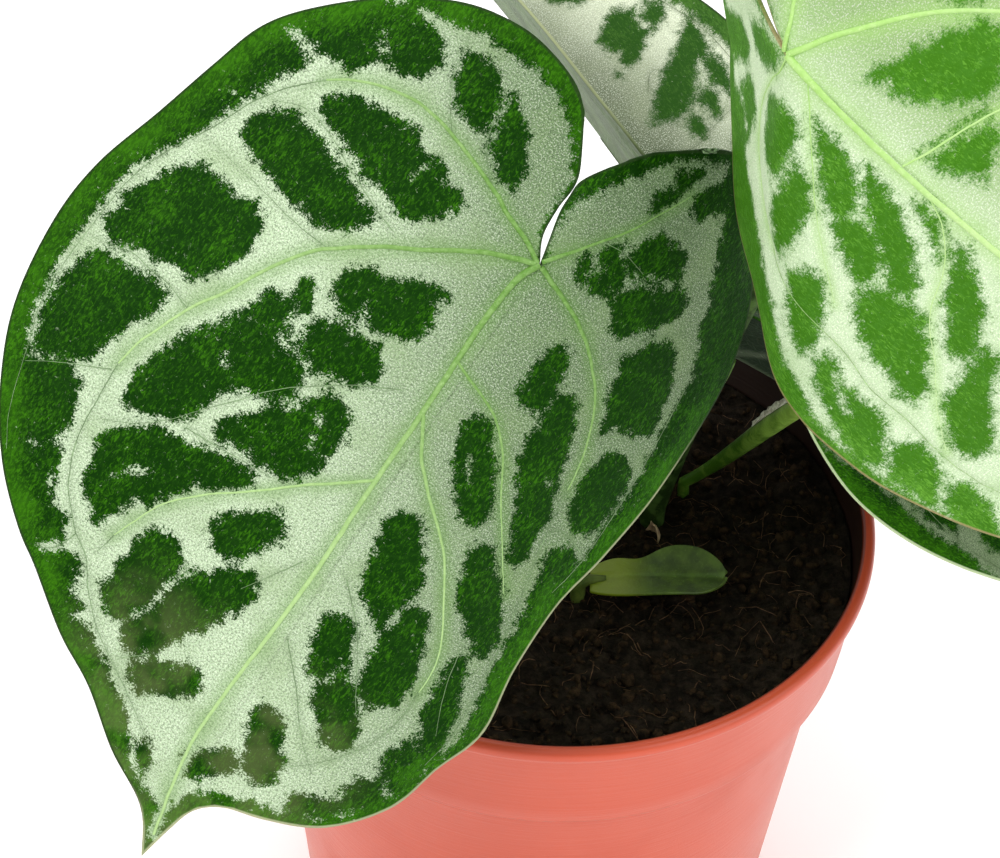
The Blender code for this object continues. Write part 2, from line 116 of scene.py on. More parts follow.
# A side is (angle near the midrib, its change along the leaf, angle of the outer
# part, its change, where the outer part starts, softness). Angles in radians.
# A roll is (start, direction in the leaf, radius, growth of the radius along the
# fold, angle, +1 down or -1 up). Radii are the petiole's, from its foot to its top.
LEAVES = {
    "leaf_front": {
        "origin": (-6.2, -36.9, 198.7), "along": (-0.547, -0.582, -0.602),
        "face": (0, -0.72, 0.695), "curl": 0.003, "scale": 1.0,
        "right": NARROW_HALF, "left": WIDE_HALF,
        "right_side": (0.45, -0.003, 0.95, -0.004, 22, 15), "left_side": (0.0, 0, 0.25, 0, 35, 20),
        "rolls": (), "wave": 0.9, "turn": 215, "rise": (0, 0, 60), "arrive": (-0.25, -0.45, 0.86),
        "radii": (2.5, 2.5, 2.1, 1.7), "rows": 240, "columns": 88,
    },
    "leaf_right": {
        "origin": (28.7, -43.4, 249.2), "along": (0.70, -0.44, -0.42),
        "face": (-0.28, -0.94, 0.47), "curl": 0.003, "scale": 1.0,
        "right": FULL_HALF, "left": FOLDED_HALF,
        "right_side": (0.2, 0, 0.5, 0, 20, 15), "left_side": (0.15, 0, 0.32, 0, 10, 12),
        "rolls": ((-1.7, 215, 2.8, 0.46, 1.0, 1),), "wave": 0.8, "turn": 285,
        "rise": (13, 4, 62), "arrive": (-0.25, -0.45, 0.85), "radii": (2.5, 2.5, 2.1, 1.7),
        "rows": 240, "columns": 88,
    },
    "leaf_back": {
        "origin": (16.0, 12.8, 165.5), "along": (-0.62, 0.58, 0.53),
        "face": (0.17, -0.57, 0.81), "curl": 0.004, "scale": 0.61,
        "right": FULL_HALF, "left": FULL_HALF,
        "right_side": (-1.34, 0, -1.39, 0, 20, 15), "left_side": (0.18, 0, 0.23, 0, 20, 15),
        "rolls": (), "wave": 0.4, "turn": 125, "rise": (-2, 4, 28),
        "arrive": (0.1, -0.15, 0.97), "radii": (2.2, 2.2, 1.8, 1.4), "rows": 170, "columns": 64,
    },
    "leaf_low": {
        "origin": (60.1, -16.6, 162.3), "along": (0.93, -0.27, -0.26),
        "face": (0.34, 0.32, 0.89), "curl": 0.005, "scale": 0.65,
        "right": FULL_HALF, "left": FULL_HALF,
        "right_side": (0.2, 0, 0.5, 0, 20, 15), "left_side": (0.2, 0, 0.7, 0, 20, 15),
        "rolls": (), "wave": 0.6, "turn": 355, "rise": (12, 1, 8),
        "arrive": (0.72, -0.48, 0.48), "radii": (1.7, 1.1, 1.9, 1.4), "rows": 170, "columns": 64,
    },
    "leaf_rear": {
        "origin": (29.6, 19.0, 129.9), "along": (0.905, -0.30, -0.30),
        "face": (0.29, -0.10, 0.95), "curl": 0.003, "scale": 0.48,
        "right": FULL_HALF, "left": FULL_HALF,
        "right_side": (0.0, 0, 0.2, 0, 20, 15), "left_side": (-1.25, 0, -0.95, 0, 14, 12),
        "rolls": (), "wave": 0.4, "turn": 55, "rise": (0, 0, 12),
        "arrive": (0.25, 0.0, 0.97), "radii": (2.0, 2.0, 1.6, 1.3), "rows": 150, "columns": 56,
    },
}

# The marks of a leaf, in (across, along) from the petiole's end: the border of its silver
# part, dark islands as tapered bars (across, along, half width, and the same at the other
# end), islands drawn as outlines, silver cracks (half width, line), ribs (radius where
# they start and end, line) and thin creases. First the front leaf's.
FRONT_SILVER = [
    (-2.9, -5), (-3.3, -9), (-3.6, -14), (-5.8, -18), (-8.8, -21), (-12, -22.8), (-15, -24.3),
    (-20, -25.2), (-25, -24.8), (-30, -25), (-33, -24), (-38, -23.2), (-42, -22.3), (-47, -21.4),
    (-46.5, -20.6), (-50, -14), (-56.5, -7), (-54, -5.8), (-50, -4.6), (-51.5, -2), (-53, 1),
    (-54.5, 4.4), (-55.5, 6.8), (-56.8, 10), (-58.3, 14.5), (-60, 18.5), (-62, 22), (-63.3, 25),
    (-64.3, 28), (-65, 33), (-65, 38), (-65.1, 43), (-65, 48), (-64.2, 52), (-63.9, 55),
    (-61.7, 57.5), (-60.6, 61), (-59.5, 62.8), (-57.5, 61.4), (-52.5, 59.3), (-49.5, 60.3),
    (-48.2, 63.5), (-47.3, 67.5), (-49.5, 71), (-51.5, 74.5), (-50, 74), (-48, 71.6),
    (-45.5, 71.3), (-44, 75), (-42.3, 79.6), (-38.6, 80.1), (-37.3, 83.8), (-39.5, 86.6),
    (-40.6, 87.9), (-37.4, 87.4), (-35, 85.2), (-32.4, 85.2), (-31.2, 87), (-30.8, 90.2),
    (-27.8, 91.6), (-28.5, 93.8), (-25, 94), (-22, 96), (-19, 97.7), (-15, 100.2), (-12, 102),
    (-9.6, 104), (-8, 106.6), (-6, 108.8), (-3, 110), (0, 111), (2.4, 112), (4, 109),
    (5.2, 106.5), (7, 104.2), (10, 102.8), (14, 101.2), (20, 99.9), (25, 98.3), (30, 95.2),
    (33.5, 91.5), (36, 86.4), (38.8, 80.5), (40.2, 75), (39.3, 69), (38.5, 64), (37.5, 58),
    (36.6, 51), (38.8, 47.5), (40.9, 43), (41.9, 38), (42.4, 34), (42.9, 28), (43.5, 23),
    (43.3, 18.3), (42.6, 13.3), (41.9, 9.5), (42.3, 4), (41.5, -1), (39.6, -3.3), (38.4, -5.8),
    (35.8, -9), (35, -13.2), (31.8, -15.8), (29.8, -20), (27.3, -22.5), (24.4, -27.6),
    (23.4, -30.5), (18.5, -33.2), (14.5, -31.8), (10, -28.3), (6.5, -24.2), (3, -19.5),
    (0.6, -15.3), (-1.6, -12), (-2, -9), (-1.4, -5.5), (0, -1),
]
FRONT_ISLANDS = [
    (-21.5, 58, 2.4, -18.4, 56.6, 1.8), (6.6, -3, 0.8, 11.6, -2.6, 1.0),
    (6, -5, 0.7, 6.4, -4.8, 0.7), (-42, -17, 4.2, -37, -16.4, 4.6),
    (-50.5, -11.5, 4.6, -45.5, -11.8, 4.6), (-46, -17, 3, -51, -13, 5),
    (-54, 65, 4.3, -51.8, 68.4, 4.4), (-54.5, 70, 2.6, -52.8, 72.6, 1.4),
    (-21, 21, 3.9, -12.5, 19, 4.2), (-14.5, 15.5, 2, -9.6, 13.4, 1),
    (-20, 31, 4.2, -14.3, 30, 3.9), (-28.2, 25.4, 1.5, -27.4, 27.6, 1.7),
    (-30.8, 31.5, 2.9, -28.6, 34, 2.8), (-33.6, 36.5, 2, -31, 38, 2.6),
    (-33.5, 42.5, 4.8, -24.2, 39, 4.4), (-36.2, 44, 3.6, -38.3, 53, 4.4),
    (-34, 45, 5, -35, 51, 4.4), (-40.2, 56.2, 2.3, -38.8, 53, 4),
    (-13.2, 41.2, 4.4, -13.8, 47, 4.4), (-18.2, 46.4, 4, -24.8, 52, 2.1),
    (-18.5, 51.5, 1.8, -12.5, 51.2, 1.2), (-34.8, 65.5, 4.9, -35.6, 71.5, 4),
    (-33, 62.6, 4.4, -23.8, 59, 2.8), (-37.8, 65.5, 3.5, -37, 71, 3),
    (-34.8, 74, 2.7, -34.4, 76.5, 1.4), (-27.5, 63.5, 2.6, -29.5, 68.5, 2),
    (-22.4, 76, 4.1, -22.9, 85.4, 4.1), (-10.2, 60.6, 2.8, -14, 65.6, 3.8),
    (-8.2, 71.8, 3, -12.8, 78, 4.4), (-12.9, 79, 4.4, -17, 89, 3.4),
    (-12.7, 94.8, 2.7, -6.4, 90.3, 2.6), (-5.8, 104.4, 1.2, -4.2, 106.6, 1.2),
    (3, 101, 2.4, 6.6, 97.6, 2), (8.2, 87.8, 2.7, 12.2, 94.2, 3.3), (9, 69, 3.3, 11.2, 73.5, 3.4),
    (15.4, 78, 3.7, 20, 83.2, 3), (8.2, 48.6, 3.5, 11.4, 55.2, 4.9),
    (12.2, 58.5, 3.9, 15, 62.2, 2.2), (19, 61, 3.1, 21.4, 70.6, 4.7),
    (21.6, 72.5, 4, 20.8, 74, 2.6), (8.4, 28, 2.7, 11.2, 32.6, 3.4),
    (11.8, 33, 3.3, 16, 38.4, 3.2), (12.6, 10.4, 2.2, 13.2, 16.8, 3.4),
    (19.4, 17, 2.8, 21.4, 24.8, 4.3), (22, 27, 4.2, 27, 33.8, 2.9), (25, 33, 3, 28.8, 42, 1.6),
    (22.6, 45.6, 2.6, 26.8, 51.4, 3.9), (28, 52, 3.8, 33, 58.3, 2.4),
    (31.2, 64, 1.6, 33.6, 72, 2.8), (33.6, 73.5, 2.9, 36.4, 79.6, 2),
    (33, 83, 3.8, 34.6, 85.6, 3), (29.6, 90.8, 3.2, 33, 92.4, 2.4), (21, 97.3, 1.8, 26, 95.3, 2),
    (36.5, 23, 5, 37, 28.6, 4.8), (37.4, 40, 3.5, 38.4, 46.5, 2.6),
    (19.2, -24.4, 2.1, 22.6, -29.3, 2.4), (14.6, -28.6, 0.9, 11.6, -18.6, 0.8),
    (12.6, -26, 0.7, 10.6, -20, 0.5),
]
FRONT_SHAPES = [
    [(-29.8, -20.2), (-27.8, -21.4), (-25.2, -21.6), (-23.4, -20.8), (-22.2, -18.8), (-21, -16.8),
     (-20.4, -15), (-20.8, -13.4), (-19.6, -12.6), (-20.8, -12), (-22.6, -11.6), (-24, -11.8),
     (-25.8, -13), (-27.6, -14.6), (-28.8, -16.4), (-29.4, -18)],
    [(-19.8, -18.6), (-19.4, -19.6), (-17.8, -18.4), (-16.2, -17.2), (-14.6, -15.8),
     (-13.4, -14.4), (-12, -13), (-10.6, -10.8), (-10.4, -8.6), (-10.8, -7.2), (-12.2, -7),
     (-14.2, -7.8), (-16.2, -9.2), (-18, -10.6), (-17.6, -12.6), (-19, -13.6), (-18.4, -15.2),
     (-18.8, -16.8)],
    [(13.6, -11.8), (13.8, -14), (15.4, -16), (18, -16.2), (20.4, -16.6), (22.8, -15.8),
     (24, -14), (23.4, -12), (20.8, -11), (19.4, -9.4), (17.4, -8), (15.2, -7.6), (13.8, -8.6),
     (13, -10.2)],
    [(8.2, -7.2), (8.6, -9), (10.6, -11.4), (11.4, -11.2), (10.8, -9.2), (12.4, -9), (13.6, -7.8),
     (14.4, -5.8), (13.8, -4.2), (12.6, -3.2), (11.8, -2.6), (10.4, -2.4), (10.2, -4), (10, -5.6),
     (8.6, -6.2)],
    [(14, -2.8), (15.2, -5), (18.2, -6.6), (21, -8.4), (23.8, -9.8), (25.4, -11.8), (27, -11.6),
     (28.6, -10), (29, -8), (27.2, -5.8), (25.8, -3.4), (24, -1.6), (21.8, -0.2), (20.4, 1.4),
     (19, 2), (17.4, 0.4), (16.6, 0), (16.4, -1.4)],
    [(26, 0.6), (28, -1.2), (30.6, -2.6), (33.2, -2.4), (35, -0.4), (36.8, 1.8), (38.2, 4),
     (38.6, 6.8), (39, 9), (39.2, 12), (37, 13.2), (33.8, 13.8), (31.2, 14.8), (29.6, 16),
     (27.8, 14.4), (27.4, 12.2), (25.6, 11.4), (25.6, 9.4), (25.2, 7), (24, 5.2), (24.4, 3.8),
     (25.8, 2.2)],
    [(-59, 25), (-58, 22.8), (-56.2, 21), (-54, 19.4), (-51.4, 20), (-48.8, 20), (-45.8, 20),
     (-43.2, 19.6), (-41, 20.6), (-39.8, 22.4), (-39.4, 24.6), (-39.6, 27.2), (-40.4, 28.6),
     (-41.8, 31.2), (-43, 33.8), (-44.8, 35.2), (-47.4, 35.4), (-49, 35.4), (-50.4, 36),
     (-53.4, 36.6), (-55, 36.8), (-57, 37.6), (-59.4, 38.6), (-61.2, 37.8), (-62.2, 36.2),
     (-62, 33.4), (-62, 31.4), (-60.8, 29.2), (-60, 27)],
    [(-61.8, 44.6), (-60.8, 42.6), (-58.8, 41), (-56.4, 40.8), (-53.2, 40.2), (-50.8, 39.8),
     (-48.8, 39.6), (-46.4, 40.2), (-46, 42.6), (-47, 44.8), (-48.6, 47.2), (-49.2, 49.4),
     (-49.6, 51.6), (-49.6, 53.8), (-50.6, 56), (-52.8, 57.8), (-55.2, 59.2), (-57.4, 60.4),
     (-59.4, 60.4), (-61, 58.4), (-61.8, 56), (-62.4, 53.2), (-62.4, 49.6), (-62.2, 47)],
    [(-52.4, 10.8), (-52.2, 9.4), (-51.8, 7), (-49.6, 4.8), (-47.6, 3.8), (-45.4, 3.8),
     (-43, 4.2), (-40.6, 4.8), (-38.2, 5.6), (-35.8, 6.6), (-33.8, 7.2), (-31.8, 7.8), (-30, 8.4),
     (-28, 9), (-26.4, 10), (-26, 11.2), (-27.4, 12.4), (-28.6, 14), (-30.2, 14.8), (-32, 15.6),
     (-33.4, 15.8), (-35.4, 15.6), (-37.6, 15.2), (-39.2, 15.6), (-41.2, 15), (-43.4, 14.2),
     (-46.4, 13.8), (-48.4, 13.2), (-50.4, 12.2)],
    [(-44.2, -0.6), (-43, -2.4), (-41.4, -4), (-39.2, -4.6), (-37, -4.8), (-34.6, -5.4),
     (-32.6, -5.4), (-30.6, -5.6), (-28.8, -5.2), (-27, -4), (-24.8, -3.2), (-22.8, -3.8),
     (-21.4, -3), (-20.8, -1.6), (-19.2, -2.2), (-17, -1.4), (-15.6, -0.6), (-16.8, 1.8),
     (-18.2, 3.6), (-19.4, 4.8), (-20.6, 6.2), (-22.6, 6.8), (-24.4, 6.6), (-25.8, 5.8),
     (-27.8, 5.4), (-30.6, 5), (-32.8, 4.6), (-34.4, 3.6), (-36.4, 2.6), (-38.8, 2), (-41.6, 1.6),
     (-43.2, 0.6)],
]
FRONT_CRACKS = [
    (0.75, [(-60.6, 21), (-63, 28), (-63.7, 35), (-63.8, 45), (-63.2, 54), (-61, 60)]),
    (0.45, [(-42.6, -14.6), (-40.8, -12.4)]), (0.3, [(-25, 0.6), (-24.2, -1.6)]),
    (0.4, [(14.4, -3.6), (16.4, -6.2), (20.4, -9.3), (25, -12.4)]),
    (0.35, [(13, -10.4), (14.4, -7.4)]),
    (0.45, [(-14.2, 71.2), (-16.6, 75), (-18, 80), (-18.6, 84.5), (-20.2, 88)]),
    (0.35, [(-36.2, 69.5), (-34.6, 67.5), (-32, 65.2)]),
    (0.4, [(-20, 35.6), (-26.5, 34.8), (-27.5, 29)]), (0.35, [(-32.4, 41.6), (-31.8, 43.4)]),
    (0.3, [(-11.5, 26.6), (-17, 25.6), (-22.5, 26.2)]), (0.3, [(-17, 25.4), (-18.5, 22)]),
    (0.35, [(14.4, 71.5), (12.4, 75.8)]), (0.3, [(9.8, 32), (12.4, 35.8)]),
    (0.3, [(15, -8.4), (19, -9.8)]), (0.5, [(42, 36.8), (37.6, 35.6), (33, 34.6)]),
    (0.55, [(43, 18.2), (39, 15.2), (35, 15), (31, 16.3)]),
    (0.35, [(17, 57.5), (15.6, 60), (15.8, 64)]), (0.3, [(-57.8, 6.6), (-55.5, 6.8)]),
    (0.35, [(-44.5, 76), (-43.4, 78)]), (0.25, [(24.5, 28.5), (27.5, 29)]),
    (0.3, [(-14, 41), (-12, 46)]),
]
FRONT_RIBS = [
    (0.75, 0.3, [(0, 0), (-1.5, 4), (-1.9, 12), (-1.6, 20), (-1.1, 30), (-0.8, 40), (-0.4, 50),
     (0.2, 62), (0.2, 75), (0, 88), (0.3, 98), (2, 107), (4.3, 116)]),
    (0.6, 0.25, [(-0.4, 0), (-4.5, -2), (-9.5, -3.6), (-12, -4.9), (-17, -6.6), (-22, -8.1),
     (-27, -9.2), (-32, -9.5), (-37, -8.5), (-42, -6.5), (-46, -3.8)]),
    (0.65, 0.25, [(-0.6, 0.3), (-7, 3), (-12, 6), (-17, 9.5), (-22, 12.5), (-27, 16.4), (-31, 20),
     (-34, 24.5), (-36.4, 29), (-39, 34.5), (-42, 39.6), (-44, 45), (-45.5, 49), (-46.3, 54)]),
    (0.4, 0.15, [(-0.9, 44), (-4.5, 47.2), (-9.5, 51.5), (-14.5, 56.3), (-18, 59.5), (-22, 63),
     (-26.6, 68.4), (-29, 74), (-30.3, 78)]),
    (0.6, 0.2, [(0.4, 0.2), (6, 1.8), (11, 3.4), (16, 5.8), (20.2, 8.8), (23.5, 11.8),
     (26.8, 16.7), (28.9, 21.7), (30.4, 28)]),
    (0.5, 0.15, [(0.1, -0.5), (3.5, -5), (6.8, -9.2), (9.3, -12.5), (12.4, -17.5),
     (16.2, -24.6)]),
    (0.5, 0.15, [(-0.9, 30.5), (0.8, 33), (3.5, 36.8), (8.5, 41.3), (14.3, 45.9), (17.7, 49.3),
     (21.8, 55), (25.2, 60), (27.5, 65), (28.1, 70.8)]),
    (0.35, 0.12, [(-1.2, 20.5), (2, 21.6), (9.3, 24.2), (15.2, 29.2), (19.3, 35), (23.5, 40),
     (28, 45.5), (31, 49)]),
]
FRONT_CREASES = [
    [(-46, -3.8), (-50, 0.5), (-54, 6.5), (-56.6, 13), (-60.6, 21), (-63, 28), (-63.7, 35),
     (-63.8, 45), (-63.2, 54), (-61, 60), (-59, 66), (-56.6, 72), (-53.4, 77)],
    [(-22.5, 9.6), (-26, 8.6), (-31, 6.8), (-36, 4.8), (-40, 3), (-46, 2), (-51.5, 4)],
    [(-29, 18.2), (-36, 18), (-42, 17.2), (-50, 16.2), (-57.4, 15.4)],
    [(-42.2, 39.8), (-47, 38.6), (-52, 38.5), (-55, 38.2), (-60, 39.7), (-63.8, 40.6)],
    [(-46.6, 55.5), (-50, 57.4), (-54.5, 60), (-59.5, 63.5)],
    [(-46.3, 54), (-45.6, 60), (-44.6, 68), (-41.6, 75), (-38.6, 78.6), (-35.6, 81.6), (-32, 84),
     (-28.4, 88.6), (-24, 92.8), (-20, 95.4), (-15.6, 97.8), (-10, 101), (-5, 104)],
    [(-35.6, 81.6), (-36.5, 84.6), (-38, 86.6), (-40.4, 87.6)],
    [(-6, 29.5), (-12, 33), (-17, 36.8), (-22, 41), (-26.5, 46.6), (-30.8, 52), (-34, 56.2),
     (-38, 60), (-43.5, 63.2)],
    [(-30.8, 55.6), (-25, 55), (-20, 54.4), (-12, 53.6)], [(-30.3, 78), (-31, 82)],
    [(-14, 91), (-17.5, 94.8)], [(-2.5, 62), (-8, 72)],
    [(30.4, 28), (31, 35), (32.6, 42), (34.6, 49), (35.9, 56), (37.2, 63), (38, 70), (38.2, 76),
     (36.8, 82)],
    [(20.2, 8.8), (23.4, 3), (27.6, -2), (33, -6)],
    [(28.9, 17.6), (33, 15.6), (38.5, 14.8), (42.6, 17.6)], [(31, 35), (35.6, 34.8), (42, 36.8)],
    [(41.6, 2), (42, 8), (42.6, 18), (42.8, 28), (41.8, 38), (39.6, 45)],
    [(28.1, 70.8), (27.6, 77), (25.4, 82.6), (20.4, 88.6), (15, 93)],
    [(5, 60), (11.5, 66), (15.5, 71.6), (20.5, 79)], [(3, 74), (9, 80), (14.6, 86.6), (19.6, 91)],
    [(12.4, -17.5), (18, -19), (24, -21.5)], [(6.8, -9.2), (12, -10), (17, -9.2)],
    [(-24, -8.6), (-27.6, -13), (-30, -18), (-31, -23)], [(-14, -5.7), (-18, -10), (-20, -14.6)],
    [(30, 61.4), (32, 68.5), (35.4, 76.5)],
]

# The right-hand leaf's own marks. The border and islands of its right half are those of the
# front leaf's left half, mirrored, apart from two of these outlines.
RIGHT_SILVER_LEFT = [
    (0, -1), (-1.2, -7), (-2.2, -14), (-6, -20.5), (-12, -25), (-18, -26), (-23, -24.5),
    (-25.5, -19), (-29.5, -15), (-32, -9), (-33.2, -4), (-33.6, 2), (-34, 7), (-34.6, 12),
    (-36.5, 20), (-37.6, 25), (-40, 28), (-42, 31), (-43.4, 34), (-43.6, 38), (-44.4, 41),
    (-46.2, 44), (-46.2, 47), (-45.3, 52), (-44.6, 57), (-44, 63), (-42.5, 69), (-40.5, 75),
    (-38, 80), (-33, 84), (-28, 92), (-20, 99), (-12, 106), (-6, 112), (0, 118),
]
RIGHT_ISLANDS = [
    (-33.5, -6.5, 5.5, -23.4, -5.5, 4.2), (-25.5, -20.5, 4.6, -19, -15.2, 4.3),
    (-38.5, 70.5, 3.9, -39.4, 75, 3.5), (-3.6, 39.6, 1, -8.8, 44.4, 2.9),
    (-10.2, 46, 3.1, -15.8, 50.4, 2.6), (-24, 58.5, 3.9, -28, 63, 3.7),
    (-20.6, 57, 2.7, -14.6, 54.6, 1.8), (-12, 61, 3.4, -17, 68, 4.2), (-21, 70, 3.8, -25, 77, 4),
    (-27, 84, 4, -31, 79, 3.4), (-8, 72, 3, -11, 80, 3.8), (-13, 84, 3.6, -17, 92, 3),
    (-5, 90, 2.8, -8, 98, 2.6),
]
RIGHT_SHAPES = [
    [(-10.6, 0.4), (-8, 2.6), (-6.4, 5.2), (-6, 7), (-7, 8.6), (-8.4, 10), (-10.6, 10.4),
     (-13.4, 11), (-16.2, 11.2), (-18.6, 11), (-19.4, 9.2), (-19.6, 7), (-18.2, 4.8),
     (-15.2, 2.8), (-12.8, 1.2)],
    [(-11.8, 12.2), (-12.4, 14), (-13.2, 16), (-15, 17.6), (-17, 19), (-20.4, 20), (-23.6, 20.4),
     (-26.8, 20.6), (-28.8, 19.6), (-28.2, 17.6), (-26.2, 15.6), (-23.4, 14), (-20, 13.2),
     (-16.4, 12.6), (-14, 12.2)],
    [(-8, -11.6), (-3.2, -7.8), (-3, -5.4), (-2, -3), (-2, -0.8), (-5, -0.8), (-8.8, -3.2),
     (-10.8, -6), (-12, -9), (-10.2, -10.6)],
    [(-28.6, 23.4), (-26.4, 24.2), (-24.2, 26), (-24.4, 28.2), (-26.4, 30.2), (-29, 32.4),
     (-32.6, 34), (-35.6, 35), (-37.4, 35), (-38.4, 34), (-37.6, 31.8), (-36, 29.4),
     (-33.6, 27.2), (-31, 25)],
    [(-35.8, 36.6), (-34.2, 37), (-33, 38.4), (-34, 40), (-36, 41.8), (-35.8, 43), (-34.8, 44.4),
     (-36, 45.8), (-35.4, 48), (-35, 50), (-36.2, 52), (-38, 53.8), (-40.2, 55.6), (-42.2, 56.8),
     (-43.8, 57), (-44.8, 55), (-45.4, 52.8), (-45, 50.6), (-43.8, 48.2), (-43.6, 46.2),
     (-42.8, 44), (-40.8, 41.4), (-40.2, 39.6), (-38.8, 38.2)],
    [(-38, 55.2), (-36.6, 56), (-35, 57.6), (-34.8, 59.6), (-35.4, 61.8), (-36.4, 64),
     (-38.6, 65.8), (-41, 67.2), (-42.6, 67.4), (-43.2, 64.8), (-43.4, 62), (-43.4, 59.4),
     (-41.4, 57.6), (-39.6, 56)],
    [(-4, 10), (-3.8, 12), (-4.2, 14.2), (-4.8, 16.8), (-5.6, 19.2), (-6.6, 21), (-8.6, 22.6),
     (-10.8, 23.8), (-13.2, 23.6), (-14.4, 22), (-14, 20), (-12.4, 18), (-10, 15.6), (-7.8, 13.2),
     (-6, 11.4)],
    [(-15.2, 22.8), (-13, 23.4), (-11.4, 25), (-11, 26.8), (-12, 29.2), (-13.6, 31.4),
     (-16.2, 33.2), (-18, 33.6), (-19.4, 32.6), (-20.2, 31.2), (-19.2, 29.2), (-18.2, 27),
     (-16.6, 24.6)],
    [(-3.6, 20.4), (-3.8, 22.2), (-4.6, 25), (-5.4, 27.8), (-7, 31.2), (-9, 34.2), (-11.4, 37),
     (-13.4, 38.8), (-15.8, 39.2), (-16.8, 38), (-16, 35.2), (-14, 32.4), (-12.6, 29.8),
     (-11.4, 27.4), (-9.8, 25.2), (-8, 23.2), (-5.8, 21.6)],
    [(-21, 32.8), (-19.6, 33.6), (-18, 35.6), (-17, 37.2), (-16.6, 39.4), (-16.2, 41.6),
     (-17.4, 44), (-19.4, 46), (-21.4, 48), (-24, 50.2), (-26.6, 52), (-29.2, 52.6),
     (-30.2, 51.4), (-30.2, 49.2), (-29, 47.4), (-28.2, 45.6), (-28.8, 43.6), (-28, 41.2),
     (-26.8, 39), (-25.4, 36.4), (-23.4, 34.4)],
    [(-2.4, 28.8), (-1.4, 30), (-1.6, 32.6), (-2.4, 35), (-4, 36.8), (-6.2, 38.6), (-7.4, 38.2),
     (-6.8, 36.2), (-5, 34), (-3.8, 31.6)],
    [(6, 10.8), (8.6, 11.6), (11.6, 12.6), (14.6, 13.6), (18, 14.6), (21, 16), (24.4, 18),
     (24.8, 21), (19.6, 26), (16.6, 26.4), (14.2, 24.6), (10.6, 21.6), (9, 19), (7.4, 16.4),
     (6.8, 14.6), (7.8, 14.2), (6.6, 12.4)],
    [(3.4, 24.2), (6.2, 25.2), (9.6, 25.8), (14.4, 27.4), (12.6, 31.8), (7, 34.4), (5.8, 32.4),
     (4.2, 29.8), (3.4, 27.2), (3.6, 25.4)],
]
RIGHT_CRACKS = [
    (0.45, [(-36, 52.4), (-40, 55.8), (-43.8, 58.6)]), (0.4, [(-36.2, 65.6), (-42.2, 68.8)]),
    (0.3, [(-34.8, 40.8), (-37.6, 43.4), (-39.6, 46)]), (0.4, [(-28, -9), (-28.6, -3)]),
]
RIGHT_RIBS = [
    (0.85, 0.35, [(0, 0), (-0.5, 10), (-0.7, 20), (-0.5, 30), (0, 42), (0.2, 60), (0, 80),
     (0, 100), (0, 118)]),
    (0.7, 0.25, [(0.2, 0), (6, 2.5), (12, 6), (18, 10), (24, 15.5), (30, 23), (34.5, 32),
     (37.5, 42), (38.5, 52)]),
    (0.5, 0.2, [(0.1, -0.8), (4.5, -3.4), (9, -6.6), (15, -12), (21, -19)]),
    (0.2, 0.1, [(-0.2, 0.2), (-4, 0.4), (-9, -1), (-18, -1), (-25, 3), (-29, 10), (-31, 18)]),
    (0.16, 0.08, [(-0.5, 5), (-4, 8.4), (-10, 14), (-18, 22), (-26, 32)]),
    (0.16, 0.08, [(-0.6, 30), (-3, 35), (-8, 39.6), (-16, 43.6), (-22, 50), (-28, 55.6),
     (-33, 62)]),
    (0.16, 0.08, [(0.1, 48), (-3, 54), (-7, 62), (-14, 74), (-21, 86)]),
    (0.28, 0.12, [(0.1, 24), (5, 25.6), (12, 27.4), (20, 31), (26, 38), (30, 48)]),
    (0.45, 0.15, [(0.1, 44), (6, 48), (14, 55), (21, 64), (26, 75), (27, 86)]),
    (0.4, 0.12, [(0.1, 66), (5, 73), (11, 83), (17, 95)]),
]
RIGHT_CREASES = [
    [(-31, 18), (-31.6, 28), (-31, 38), (-33, 46), (-33, 53), (-34, 62), (-33.4, 70), (-31, 77)],
    [(38.5, 52), (38, 62), (34.6, 72), (29, 82), (21, 92), (12, 102), (5, 110)],
    [(34, 30.6), (41, 28), (48, 27), (53, 28.6)], [(38, 48), (44, 46), (51, 46)],
    [(30.4, 24), (36, 17), (43, 12), (50, 10)], [(24, 15.6), (28, 8), (35, 0), (42, -6)],
    [(53, -2), (55.6, 12), (55.4, 28), (51.6, 45), (45, 60), (37, 72)],
]

# What shows of the low leaf: the border of its silver part and two islands beside it,
# in its real size.
LOW_BORDER = [
    (-27.6, -13), (-30.6, -8.8), (-31, -6), (-31.4, -3.8), (-32, -1.2), (-33, 2.2), (-33.8, 5.8),
    (-35.4, 9.6), (-36.2, 13.4), (-36.2, 16.4), (-36.4, 19.8), (-37.4, 23.8), (-38, 27.8),
]
LOW_SHAPES = [
    [(-31, 0), (-31.4, 2.8), (-31.8, 6.2), (-32.6, 9.6), (-33.8, 10.4), (-34.2, 12.4),
     (-34.4, 16), (-34.2, 16.8), (-32.8, 16.2), (-31.8, 14.2), (-28, 11.6), (-27, 8.2), (-27, 4),
     (-28, 1.2)],
    [(-27, 18), (-31, 20.2), (-32.8, 21.6), (-33.2, 23.6), (-33, 25.4), (-31.4, 27), (-27, 27)],
]

